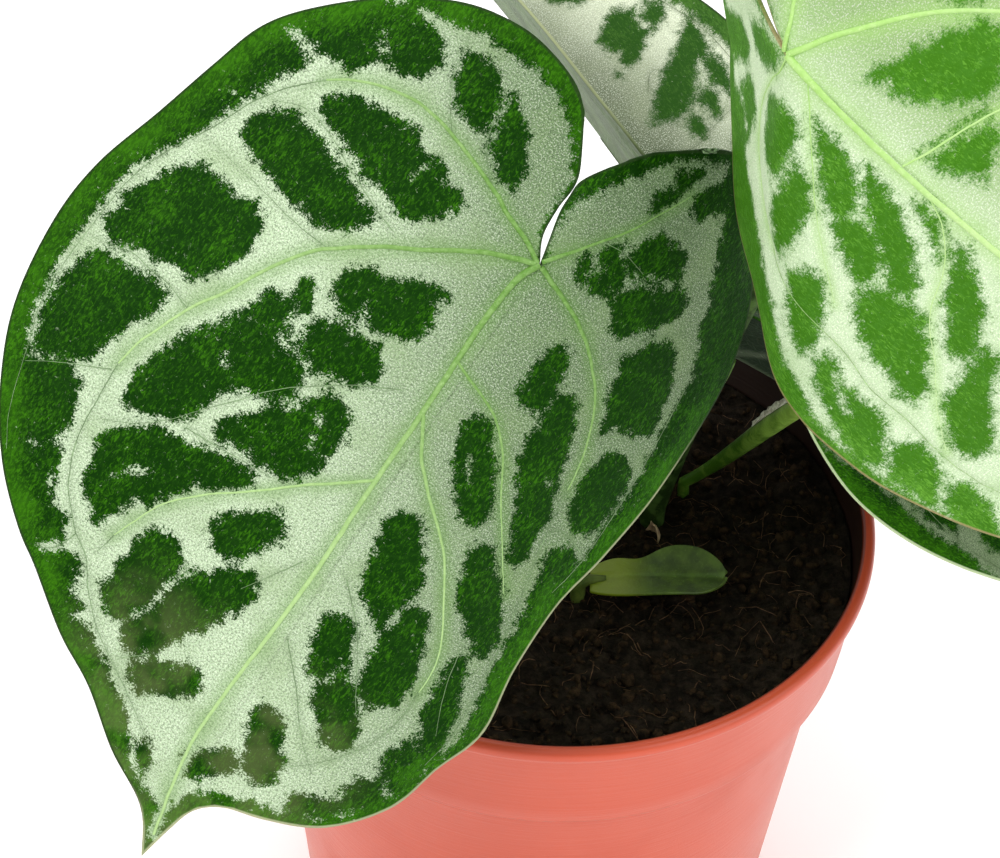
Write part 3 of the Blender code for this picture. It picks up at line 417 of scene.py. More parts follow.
# The back leaf's own marks, in its real size.
BACK_SILVER = [
    (0, -3), (-3, -12), (-9, -15.5), (-16, -16), (-23, -13), (-28, -6), (-31, 2), (-32.5, 12),
    (-32, 22), (-29.5, 31), (-25.5, 40), (-20, 48), (-14, 55), (-8, 61), (-3, 67), (0, 70),
    (3, 67), (8, 61), (14, 55), (20, 48), (25.5, 40), (29.5, 31), (32, 22), (32.5, 12), (31, 2),
    (28, -6), (23, -13), (16, -16), (9, -15.5), (3, -12),
]
BACK_ISLANDS = [
    (-10, 47, 2.2, -13.4, 44.4, 2.2), (-5, 57, 1.6, -8, 52, 2), (20, 4, 3, 27, 6.6, 3.4),
    (14, -7, 2.4, 20, -9.6, 2.8), (12, 13, 2.2, 20, 18, 3.4), (24, 15, 2.6, 28, 21, 2.8),
    (8, 22, 2, 16, 30, 3.2), (20, 28, 2.4, 24, 36, 2.8), (8, 37, 2, 15, 43, 2.8),
    (5, 50, 1.6, 10, 54, 2.2), (-22, 3, 2.6, -27, 5, 3),
]
BACK_SHAPES = [
    [(-28.4, 29.8), (-29.4, 28.8), (-29.2, 27), (-29.2, 24.4), (-28.8, 22.8), (-27.2, 21.4),
     (-24.8, 21.6), (-23, 20.2), (-22, 18.6), (-21, 17.6), (-18.6, 15.8), (-16.6, 14.8),
     (-14.8, 14.6), (-12.8, 15.6), (-11, 15.4), (-9.6, 16.2), (-10.4, 17.6), (-12, 18.2),
     (-12.8, 19.6), (-14.2, 20.8), (-16, 21.6), (-17.2, 23.2), (-19.4, 24), (-22, 25.6),
     (-24, 26.8), (-26.4, 28.2)],
    [(-25.4, 21.2), (-27.4, 21.2), (-28.8, 19.8), (-29, 18), (-28.2, 15.8), (-27.6, 14.2),
     (-26.2, 13.4), (-25.6, 14.6), (-24.8, 16.2), (-24.4, 17.4), (-24.6, 19.2)],
    [(-20.2, 16.8), (-21.8, 16.8), (-23.2, 15.8), (-24, 14.8), (-23.2, 13.2), (-23, 11.8),
     (-21.8, 10.6), (-20.8, 11.2), (-20.4, 13.4), (-19.8, 15.2)],
    [(-15.2, 13), (-17.4, 13.2), (-18.4, 11.8), (-18.2, 10), (-16, 9.4), (-14.8, 10.6),
     (-15, 11.6)],
    [(-12.4, 35.4), (-14.6, 37), (-16.6, 37.8), (-18.4, 38), (-21.2, 36.4), (-21.6, 33.8),
     (-20.2, 31), (-18, 29.4), (-15.6, 27.8), (-13.2, 27.2), (-12.4, 28.8), (-13.2, 30.2),
     (-11.8, 31.6), (-10.8, 32.8), (-11, 34.6)],
    [(-23.8, 36.6), (-27, 34.6), (-25.4, 32.8), (-23.6, 31.4), (-21.4, 31.4), (-21.2, 34)],
    [(-9.8, 27.6), (-10.4, 27), (-9.8, 26.6), (-9.4, 27)],
]
BACK_CRACKS = [
    (0.3, [(-20.6, 32.4), (-20.4, 35)]),
]
BACK_RIBS = [
    (0.75, 0.4, [(0, 0), (-0.6, 10), (-1, 24), (-0.8, 40), (0, 58), (0, 74)]),
]
BACK_CREASES = [
    [(-28, 3), (-30.4, 12), (-30.8, 22), (-28.4, 31), (-24, 40), (-17.6, 48), (-10, 57)],
    [(24, 0), (29.6, 12), (29.6, 22), (26, 33), (19, 45), (10, 57)],
    [(-13, 21.8), (-16, 24.6), (-19.6, 22.8)], [(-7, 12), (-13, 8.6), (-20, 10), (-28, 11.6)],
]

MARKS = ("silver", "islands", "shapes", "cracks", "ribs", "creases")
FRONT_MARKS = dict(zip(MARKS, (FRONT_SILVER, FRONT_ISLANDS, FRONT_SHAPES, FRONT_CRACKS,
                               FRONT_RIBS, FRONT_CREASES)))
BACK_MARKS = dict(zip(MARKS, (BACK_SILVER, BACK_ISLANDS, BACK_SHAPES, BACK_CRACKS,
                              BACK_RIBS, BACK_CREASES)))


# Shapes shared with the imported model.

def unit(v):
    v = np.asarray(v, float)
    return v / np.linalg.norm(v)


def leaf_frame(leaf):
    """The origin of a leaf, and its directions across, along and out of its face."""
    along = unit(leaf["along"])
    face = np.asarray(leaf["face"], float)
    face = unit(face - along * (face @ along))
    return np.asarray(leaf["origin"], float), np.cross(face, along), along, face


def side_bend(side, s, t):
    """How far a point moves across and out of the flat, for the half it is on."""
    near = np.clip(side[0] + side[1] * t, -1.5, 1.5)
    far = np.clip(side[2] + side[3] * t, -1.5, 1.5)
    start, soft = side[4], side[5]
    w = np.abs(s)
    crease = np.sqrt(w * w + 1.44) - 1.2
    outer = 0.5 * ((w - start) + np.hypot(w - start, soft) + start - np.hypot(start, soft))
    across = w * np.cos(near) + outer * (np.cos(far) - np.cos(near))
    out = -(crease * np.sin(near) + outer * (np.sin(far) - np.sin(near)))
    return across, out


def leaf_surface(leaf, s, t, lift=0.0):
    """Points in space of the leaf's face, for (s, t) across and along it."""
    origin, across_dir, along_dir, face_dir = leaf_frame(leaf)
    k = leaf["curl"]
    theta = k * t
    along = np.sin(theta) / k
    drop = -(1 - np.cos(theta)) / k
    right, right_out = side_bend(leaf["right_side"], s, t)
    left, left_out = side_bend(leaf["left_side"], s, t)
    across = np.where(s > 0, right, -left)
    out = np.where(s > 0, right_out, left_out)
    size = np.hypot(s, t) / 60.0
    out = out + leaf["wave"] * size ** 2 * np.sin(np.arctan2(s, t + 25) * 9.0)
    for start, direction, radius, growth, angle, sign in leaf["rolls"]:
        ds, dt = math.cos(math.radians(direction)), math.sin(math.radians(direction))
        u = s * ds + t * dt - start
        radius = radius + growth * np.maximum(s * dt - t * ds, 0)
        turned = np.clip(u / radius, 0, angle)
        rest = np.maximum(u - radius * angle, 0)
        shift = np.where(u > 0, radius * np.sin(turned) + rest * math.cos(angle) - u, 0)
        sink = radius * (1 - np.cos(turned)) + rest * math.sin(angle)
        across = across + shift * ds
        along = along + shift * dt
        out = out - sign * np.where(u > 0, sink, 0)
    up = face_dir[None] * np.cos(theta)[:, None] + along_dir[None] * np.sin(theta)[:, None]
    place = (origin + across_dir * across[:, None] + along_dir * along[:, None]
             + face_dir * drop[:, None] + up * out[:, None])
    if np.ndim(lift) or lift:
        place = place + leaf_normal(leaf, s, t) * np.broadcast_to(lift, s.shape)[:, None]
    return place


def leaf_normal(leaf, s, t):
    """The direction straight out of the leaf's face at each point."""
    step = 0.05
    by_s = leaf_surface(leaf, s + step, t) - leaf_surface(leaf, s - step, t)
    by_t = leaf_surface(leaf, s, t + step) - leaf_surface(leaf, s, t - step)
    _, across, along, face = leaf_frame(leaf)
    normal = np.cross(by_t, by_s) * np.sign(np.cross(along, across) @ face)
    return normal / np.linalg.norm(normal, axis=1)[:, None]


def spline(points, count):
    """count points spread evenly along a smooth curve through the given ones."""
    p = np.asarray(points, float)
    ends = np.vstack([2 * p[0] - p[1], p, 2 * p[-1] - p[-2]])
    fine = []
    for i in range(1, len(ends) - 2):
        a, b, c, d = ends[i - 1:i + 3]
        u = np.linspace(0, 1, 12, endpoint=False)[:, None]
        fine.append(0.5 * (2 * b + (c - a) * u + (2 * a - 5 * b + 4 * c - d) * u ** 2
                           + (3 * b - a - 3 * c + d) * u ** 3))
    fine = np.vstack(fine + [p[-1:]])
    length = np.concatenate([[0], np.cumsum(np.linalg.norm(np.diff(fine, axis=0), axis=1))])
    at = np.linspace(0, length[-1], count)
    return np.stack([np.interp(at, length, fine[:, i]) for i in range(fine.shape[1])], 1)


def petiole_knots(leaf):
    """The petiole rises from its hole in the soil and meets the leaf from behind."""
    face = leaf_frame(leaf)[3]
    turn = math.radians(leaf["turn"])
    foot = np.array([CROWN[0] + PETIOLE_RING * math.cos(turn),
                     CROWN[1] + PETIOLE_RING * math.sin(turn), PETIOLE_FOOT_Z])
    arrive = unit(leaf["arrive"])
    end = leaf_surface(leaf, np.array([0.0]), np.array([1.6]))[0] - face * 1.3
    surface = foot + (0, 0, SOIL_TOP + 3 - PETIOLE_FOOT_Z)
    reach = 0.33 * np.linalg.norm(end - surface)
    a, b = surface + np.asarray(leaf["rise"], float), end - arrive * reach
    ab, sa, be = (a + b) / 2, (surface + a) / 2, (b + end) / 2
    before, after = (sa + ab) / 2, (ab + be) / 2
    return [
        (foot, foot - (0, 0, 3), foot + (0, 0, 3)),
        (surface, surface - (0, 0, 4), sa),
        ((before + after) / 2, before, after),
        (end, be, end + arrive),
    ]


# Marks on the leaves.

def segment_distance(points, a, b):
    """How far each point is from a straight piece, and how far along it that is."""
    a, b = np.asarray(a, float), np.asarray(b, float)
    d = b - a
    at = np.clip((points - a) @ d / (d @ d + 1e-12), 0, 1)
    return np.linalg.norm(points - a - at[:, None] * d, axis=1), at


def line_distance(points, line):
    """How far each point is from a run of straight pieces."""
    best = np.full(len(points), 1e6)
    for a, b in zip(np.asarray(line[:-1], float), np.asarray(line[1:], float)):
        d = b - a
        across, along = points[:, 0] - a[0], points[:, 1] - a[1]
        at = np.clip((across * d[0] + along * d[1]) / (d @ d + 1e-12), 0, 1)
        across -= at * d[0]
        along -= at * d[1]
        best = np.minimum(best, across * across + along * along)
    return np.sqrt(best)


def inside_depth(points, outline):
    """Distance to a closed outline, positive inside it."""
    outline = np.asarray(outline, float)
    inside = np.zeros(len(points), bool)
    for a, b in zip(outline, np.roll(outline, -1, axis=0)):
        spans = (a[1] > points[:, 1]) != (b[1] > points[:, 1])
        crossing = a[0] + (points[:, 1] - a[1]) * (b[0] - a[0]) / (b[1] - a[1] + 1e-12)
        inside ^= spans & (points[:, 0] < crossing)
    closed = np.vstack([outline, outline[:1]])
    return np.where(inside, 1, -1) * line_distance(points, closed)


def darkness(points, marks):
    """How deep a point lies in the dark green, in mm, negative in the silver part."""
    soft, limit, bar_inset, crack_margin, rib_margin = 0.6, 20, 0.1, 0.12, 0.5

    def weight(depth):
        return np.exp(np.clip(depth, -limit, limit) / soft)

    total = weight(-inside_depth(points, marks["silver"]))
    for outline in marks["shapes"]:
        total += weight(inside_depth(points, outline))
    for s0, t0, r0, s1, t1, r1 in marks["islands"]:
        away, at = segment_distance(points, (s0, t0), (s1, t1))
        total += weight(r0 + (r1 - r0) * at - away - bar_inset)
    field = soft * np.log(total)
    for width, line in marks["cracks"]:
        field = np.minimum(field, line_distance(points, line) - width - crack_margin)
    for width, _, line in marks["ribs"]:
        field = np.minimum(field, line_distance(points, spline(line, 14)) - rib_margin - width)
    return field


def mirrored(items):
    """Islands, outlines or cracks of the left half, turned over to the right half."""
    over = []
    for item in items:
        if isinstance(item, list):
            over.append([(-s, t) for s, t in item])
        elif len(item) == 6:
            s0, t0, r0, s1, t1, r1 = item
            over.append((-s0, t0, r0, -s1, t1, r1))
        else:
            width, line = item
            over.append((width, [(-s, t) for s, t in line]))
    return over


def right_marks():
    """The right-hand leaf's own marks, and on its right the front leaf's, mirrored."""
    narrow, thin = 0.86, 0.92

    def narrowed(line):
        return [(narrow * s, t) for s, t in line]

    tip = next(i for i, p in enumerate(FRONT_SILVER) if p[1] > 100)
    border = narrowed([(-s, t) for s, t in FRONT_SILVER[1:tip]])
    silver = RIGHT_SILVER_LEFT + [(4, 112), (14, 103), (22, 95)] + border[::-1]
    islands = [(narrow * s0, t0, thin * r0, narrow * s1, t1, thin * r1)
               for s0, t0, r0, s1, t1, r1 in mirrored(FRONT_ISLANDS)
               if min(s0, s1) > 3 and not (s0 < 24 and 5 < t0 < 34)]
    shapes = [narrowed(line) for line in mirrored(FRONT_SHAPES) if min(s for s, _ in line) > 24]
    cracks = [(width, narrowed(line)) for width, line in mirrored(FRONT_CRACKS)
              if not -24 <= line[0][0] <= 26]
    return dict(zip(MARKS, (silver, RIGHT_ISLANDS + islands, RIGHT_SHAPES + shapes,
                            RIGHT_CRACKS + cracks, RIGHT_RIBS, RIGHT_CREASES)))


def fitted_marks(marks, left, right, along):
    """The front leaf's marks, stretched to another leaf's halves."""
    def place(s, t):
        return (s * (left if s < 0 else right), t * along)

    def bar(s0, t0, r0, s1, t1, r1):
        k = left if s0 < 0 else right
        return (*place(s0, t0), r0 * min(k, along), *place(s1, t1), r1 * min(k, along))

    return {
        "silver": [place(*p) for p in marks["silver"]],
        "islands": [bar(*m) for m in marks["islands"]],
        "shapes": [[place(*p) for p in line] for line in marks["shapes"]],
        "cracks": [(w * along, [place(*p) for p in line]) for w, line in marks["cracks"]],
        "ribs": [(a * along ** 0.5, b * along ** 0.5, [place(*p) for p in line])
                 for a, b, line in marks["ribs"]],
        "creases": [[place(*p) for p in line] for line in marks["creases"]],
    }


def marks_of(name):
    if name == "leaf_front":
        return FRONT_MARKS
    if name == "leaf_right":
        return right_marks()
    if name == "leaf_back":
        return BACK_MARKS
    scale = LEAVES[name]["scale"]
    marks = fitted_marks(FRONT_MARKS, scale * 60 / 69.8, scale * 60 / 50.9, scale * 127 / 120.5)
    if name == "leaf_low":
        # The visible side takes its own marks in place of the front leaf's.
        border = marks["silver"]
        first = next(i for i, p in enumerate(border) if p[0] < -27 and p[1] > -13)
        last = next(i for i, p in enumerate(border) if i > first and p[1] > 29)
        marks["silver"] = border[:first] + LOW_BORDER + border[last:]
        marks["islands"] = [m for m in marks["islands"]
                            if max(m[0], m[3]) > -25 or min(m[1], m[4]) > 30]
        marks["shapes"] = LOW_SHAPES + [m for m in marks["shapes"] if max(s for s, _ in m) > -22]
    return marks


# Mesh helpers.

def finished(name, mesh, materials, node):
    """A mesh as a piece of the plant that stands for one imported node."""
    piece = bpy.data.objects.new(name, mesh)
    bpy.context.scene.collection.objects.link(piece)
    for mat in materials:
        mesh.materials.append(mat)
    if isinstance(mesh, bpy.types.Mesh):
        mesh.shade_smooth()
    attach(piece, "root")
    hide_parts(node)
    return piece


def mesh_from(bm, name):
    mesh = bpy.data.meshes.new(name)
    bm.to_mesh(mesh)
    bm.free()
    return mesh


def lay_uv(bm, name, places):
    """Keeps a flat place for each point as a UV map, which materials read."""
    bm.verts.index_update()
    layer = bm.loops.layers.uv.new(name)
    for face in bm.faces:
        for loop in face.loops:
            loop[layer].uv = places[loop.vert.index]


def thickened(piece, thickness, offset):
    """Gives a sheet its thickness: behind its face at offset -1, on both sides at 0."""
    thick = piece.modifiers.new("thickness", "SOLIDIFY")
    thick.thickness, thick.offset = thickness, offset
    return thick


def settled(piece, name):
    """A copy of a piece's evaluated mesh, with its modifiers used up."""
    graph = bpy.context.evaluated_depsgraph_get()
    mesh = bpy.data.meshes.new_from_object(piece.evaluated_get(graph))
    mesh.name = name
    bpy.data.objects.remove(piece, do_unlink=True)
    return mesh


def half_grid(half, rows, columns, sign, scale, tip):
    """(s, t) of one half, row by row from the mouth of the notch to the tip."""
    notch_points, rib_points, outline_points = 200, 400, 801
    notch = spline(half[0][::-1], notch_points)
    rib = np.stack([np.linspace(0, end, rib_points) for end in tip], 1)
    inner = np.vstack([notch * (sign, 1), rib[1:]])
    length = np.concatenate([[0], np.cumsum(np.linalg.norm(np.diff(inner, axis=0), axis=1))])
    # One row ends exactly at the petiole, so that both halves meet along the midrib.
    petiole = length[len(notch) - 1]
    first = max(2, int(round(rows * petiole / length[-1])))
    at = np.concatenate([np.linspace(0, petiole, first + 1),
                         np.linspace(petiole, length[-1], rows - first + 1)[1:]])
    inner = np.stack([np.interp(at, length, inner[:, i]) for i in range(2)], 1)
    outer = spline(half[1], outline_points)
    even = np.linspace(0, 1, outline_points)
    # The outer end of each row runs a little ahead of its inner end.
    ahead = 1.12
    where = np.interp(at / length[-1], even ** ahead, even)
    outer = np.stack([np.interp(where, even, outer[:, i]) for i in range(2)], 1) * (sign, 1)
    v = np.linspace(0, 1, columns + 1)[None, :, None]
    return (inner[:, None] * (1 - v) + outer[:, None] * v) * scale, outer * scale, inner * scale


def notch_share(half, tip):
    """How much of a half's inner line runs along the notch."""
    notch = spline(half[0], 200)
    petiole = np.linalg.norm(np.diff(notch, axis=0), axis=1).sum()
    return petiole / (petiole + math.hypot(*tip))


def rib_distance(points, marks):
    """Distance to the nearest main rib, in widths of that rib."""
    away = np.full(len(points), FAR)
    for width, _, line in marks["ribs"]:
        away = np.minimum(away, line_distance(points, spline(line, 16)) / (0.6 + width))
    return away


def crease_distance(points, marks):
    """Distance to the nearest crease."""
    away = np.full(len(points), FAR)
    for line in marks["creases"]:
        away = np.minimum(away, line_distance(points, spline(line, 12)))
    return away


def quilted(leaf, points, rib_away, crease_away, edge_away, quilting):
    """How far the blade stands out of its smooth surface: puffed between its veins."""
    k = leaf["scale"] ** 0.5
    rib_reach, crease_reach, edge_reach = 4 * k, 2.5 * k, 3 * k
    lift = quilting * k * (1 - np.exp(-rib_away / rib_reach))
    lift += 0.55 * quilting * k * (1 - np.exp(-crease_away / crease_reach))
    lift -= 0.5 * quilting * k * np.exp(-(edge_away / edge_reach) ** 2)
    rolling = np.array([noise.noise((s * 0.05, t * 0.05, 7.0 * leaf["scale"])) for s, t in points])
    return lift + quilting * 0.9 * rolling * np.minimum(1, rib_away / 8)


def grid_slope(s, t, value):
    """The direction in which a value rises fastest, at each point of a grid."""
    (si, sj), (ti, tj), (vi, vj) = np.gradient(s), np.gradient(t), np.gradient(value)
    area = si * tj - sj * ti
    area = np.where(np.abs(area) < 1e-6, 1e-6, area)
    slope = np.stack([(vi * tj - vj * ti) / area, (vj * si - vi * sj) / area], -1).reshape(-1, 2)
    return slope / np.maximum(np.linalg.norm(slope, axis=1), 0.3)[:, None]


def blade_mesh(name, leaf, marks, quilting):
    """The leaf's face as two grids that meet on the midrib, with its marks as attributes."""
    rows, columns = leaf["rows"], leaf["columns"]
    tip = np.array(leaf["right"][1][-1], float)
    bm = bmesh.new()
    flat, edges = [], []
    for half, sign in ((leaf["left"], -1), (leaf["right"], 1)):
        grid, outer, inner = half_grid(half, rows, columns, sign, leaf["scale"], tip)
        made = bmesh.ops.create_grid(bm, x_segments=columns, y_segments=rows, size=1)
        places = grid.reshape(-1, 2)
        if len(made["verts"]) != len(places):
            raise RuntimeError(f"{name}: the grid has {len(made['verts'])} points")
        flat.append(places)
        notch_end = max(2, int(round(rows * notch_share(half, tip))))
        edges.append(np.vstack([inner[:notch_end + 1][::-1], outer]))
    flat = np.vstack(flat)
    edges = [np.vstack([line[::4], line[-1:]]) for line in edges]
    edge_away = np.minimum(line_distance(flat, edges[0]), line_distance(flat, edges[1]))
    dark = darkness(flat, marks)
    # Teeth of the islands stand square to their borders: near a border, the tooth noise
    # is read nearer to the border than the point itself lies.
    shape = (2, rows + 1, columns + 1)
    fields = [v.reshape(shape) for v in (flat[:, 0], flat[:, 1], dark)]
    slope = np.concatenate([grid_slope(*[v[i] for v in fields]) for i in range(2)])
    root = flat - 0.6 * np.clip(dark, -3, 3)[:, None] * slope
    rib_away = rib_distance(flat, marks)
    crease_away = crease_distance(flat, marks)
    lift = quilted(leaf, flat, rib_away, crease_away, edge_away, quilting)
    places = leaf_surface(leaf, flat[:, 0], flat[:, 1], lift)
    lay_uv(bm, "flat", flat)
    lay_uv(bm, "root", root)
    layers = {key: bm.verts.layers.float.new(key) for key in ("dark", "edge", "rib", "crease")}
    values = {"dark": dark, "edge": edge_away, "rib": rib_away, "crease": crease_away}
    for i, vert in enumerate(bm.verts):
        vert.co = Vector(places[i] * MM)
        for key, layer in layers.items():
            vert[layer] = values[key][i]
    half_count = (rows + 1) * (columns + 1)
    first = [f for f in bm.faces if f.verts[0].index < half_count]
    second = [f for f in bm.faces if f.verts[0].index >= half_count]
    face_dir = Vector(leaf_frame(leaf)[3])
    bm.normal_update()
    for group in (first, second):
        near = [f for f in group if abs(flat[f.verts[0].index][0]) < 4 and f.calc_area() > 0]
        if sum(f.normal.dot(face_dir) for f in near) < 0:
            bmesh.ops.reverse_faces(bm, faces=group)
    bmesh.ops.remove_doubles(bm, verts=bm.verts, dist=0.02 * MM)
    bmesh.ops.dissolve_degenerate(bm, edges=bm.edges, dist=0.001 * MM)
    return mesh_from(bm, name)


def curve_data(name, sides=1):
    """An empty curve whose strands are round, and as thick as each point's radius in mm."""
    data = bpy.data.curves.new(name, "CURVE")
    data.dimensions = "3D"
    data.bevel_depth = MM
    data.bevel_resolution = sides
    data.resolution_u = 1
    data.use_fill_caps = True
    return data


def add_strand(data, places, radii):
    strand = data.splines.new("POLY")
    strand.points.add(len(places) - 1)
    for point, place, radius in zip(strand.points, places, radii):
        point.co = (*(np.asarray(place) * MM), 1)
        point.radius = radius


def rib_curves(name, leaf, marks, lines, quilting):
    """Thin round ribs lying half in the leaf's face, as one curve with many strands."""
    data = curve_data(name)
    for start, end, sink, line in lines:
        count = max(8, int(sum(math.dist(a, b) for a, b in zip(line, line[1:])) / 1.1))
        path = spline(line, count)
        path = path + 0.12 * np.array([[noise.noise((s * 0.4, t * 0.4, 1.0)),
                                        noise.noise((s * 0.4, t * 0.4, 9.0))] for s, t in path])
        radius = np.linspace(start, end, count)
        lift = quilted(leaf, path, rib_distance(path, marks), crease_distance(path, marks),
                       np.full(count, FAR), quilting)
        places = leaf_surface(leaf, path[:, 0], path[:, 1], lift + radius * sink)
        add_strand(data, places, radius)
    return data


def tube_curve(name, path, radii, sides):
    """A round stalk through many points, each with its own radius."""
    data = curve_data(name, sides)
    add_strand(data, path, radii)
    return data


def bezier_path(knots, radii, steps):
    """Points and radii along a run of Bezier pieces."""
    path, sizes = [], []
    for (a, _, after), (b, before, _), r0, r1 in zip(knots, knots[1:], radii, radii[1:]):
        u = np.linspace(0, 1, steps, endpoint=False)[:, None]
        path.append((1 - u) ** 3 * a + 3 * (1 - u) ** 2 * u * after + 3 * (1 - u) * u ** 2 * before
                    + u ** 3 * b)
        blend = 3 * u[:, 0] ** 2 - 2 * u[:, 0] ** 3
        sizes.append(r0 + (r1 - r0) * blend)
    path.append(np.asarray(knots[-1][0], float)[None])
    sizes.append(np.array([radii[-1]]))
    return np.vstack(path), np.concatenate(sizes)


def turned(profile, segments):
    """A solid of revolution from (radius, height) points."""
    bm = bmesh.new()
    verts = [bm.verts.new((r * MM, 0, z * MM)) for r, z in profile]
    for a, b in zip(verts, verts[1:]):
        bm.edges.new((a, b))
    bmesh.ops.spin(bm, geom=bm.verts[:] + bm.edges[:], cent=(0, 0, 0), axis=(0, 0, 1),
                   angle=math.tau, steps=segments, use_merge=True)
    bmesh.ops.remove_doubles(bm, verts=bm.verts, dist=0.01 * MM)
    bmesh.ops.recalc_face_normals(bm, faces=bm.faces)
    return bm


# Material helpers.

class Finish:
    """A node material under construction, with short calls for its nodes."""

    def __init__(self, name):
        self.mat = bpy.data.materials.new(name)
        self.mat.use_nodes = True
        self.tree = self.mat.node_tree
        self.shader = self.tree.nodes["Principled BSDF"]

    def node(self, kind, inputs=None, **settings):
        made = self.tree.nodes.new(kind)
        for key, value in settings.items():
            setattr(made, key, value)
        for key, value in (inputs or {}).items():
            self.feed(made.inputs[key], value)
        return made

    def feed(self, socket, value):
        if isinstance(value, bpy.types.NodeSocket):
            self.tree.links.new(value, socket)
        elif isinstance(value, (tuple, list)) and len(value) == 3 and socket.type == "RGBA":
            socket.default_value = (*value, 1.0)
        else:
            socket.default_value = value

    def coords(self):
        return self.node("ShaderNodeTexCoord").outputs["Object"]

    def flat(self):
        return self.node("ShaderNodeUVMap", uv_map="flat").outputs["UV"]

    def value(self, name):
        return self.node("ShaderNodeAttribute", attribute_name=name).outputs["Fac"]

    def scaled(self, at, *scale):
        return self.node("ShaderNodeMapping", {"Vector": at, "Scale": scale}).outputs[0]

    def in_mm(self, height_scale=1000):
        """The object's coordinates in mm, drawn out in height by a smaller scale."""
        return self.scaled(self.coords(), 1000, 1000, height_scale)

    def parts(self, at):
        """The first two coordinates of a place."""
        return self.node("ShaderNodeSeparateXYZ", {"Vector": at}).outputs[:2]

    def vector(self, operation, *inputs):
        return self.node("ShaderNodeVectorMath", dict(enumerate(inputs)),
                         operation=operation).outputs

    def math(self, operation, a, b=0.0):
        return self.node("ShaderNodeMath", {0: a, 1: b}, operation=operation).outputs[0]

    def add(self, *values):
        return functools.reduce(lambda a, b: self.math("ADD", a, b), values)

    def times(self, *values):
        return functools.reduce(lambda a, b: self.math("MULTIPLY", a, b), values)

    def minus(self, a, b):
        return self.math("SUBTRACT", a, b)

    def noise(self, at, scale, detail=3.0, roughness=0.55, distortion=0.0):
        made = self.node("ShaderNodeTexNoise", {
            "Vector": at, "Scale": scale, "Detail": detail, "Roughness": roughness,
            "Distortion": distortion})
        return made.outputs["Fac"]

    def cells(self, at, scale, width):
        """0 along the walls between cells, rising to 1 a width away."""
        made = self.node("ShaderNodeTexVoronoi", {"Vector": at, "Scale": scale},
                         feature="DISTANCE_TO_EDGE")
        return self.spread(made.outputs["Distance"], 0.0, width)

    def spread(self, value, low, high, to_low=0.0, to_high=1.0):
        """A value eased from one range to another; low may be the larger end."""
        made = self.node("ShaderNodeMapRange", {
            "Value": value, "From Min": low, "From Max": high, "To Min": to_low,
            "To Max": to_high}, interpolation_type="SMOOTHSTEP")
        return made.outputs["Result"]

    def mix(self, share, a, b):
        made = self.node("ShaderNodeMix", {0: share, 6: a, 7: b}, data_type="RGBA",
                         clamp_factor=True)
        return made.outputs[2]

    def bump(self, height, distance, strength):
        """Relief from a height of 0 to 1; its distance is in metres."""
        made = self.node("ShaderNodeBump", {"Height": height, "Distance": distance,
                                            "Strength": strength})
        return made.outputs["Normal"]

    def done(self, colour, roughness, normal=None, **sockets):
        for key, value in (("Base Color", colour), ("Roughness", roughness), ("Normal", normal)):
            if value is not None:
                self.feed(self.shader.inputs[key], value)
        for key, value in sockets.items():
            self.feed(self.shader.inputs[key.replace("_", " ")], value)
        return self.mat


def scaled_colour(colour, k):
    return tuple(min(1.0, c * k) for c in colour)


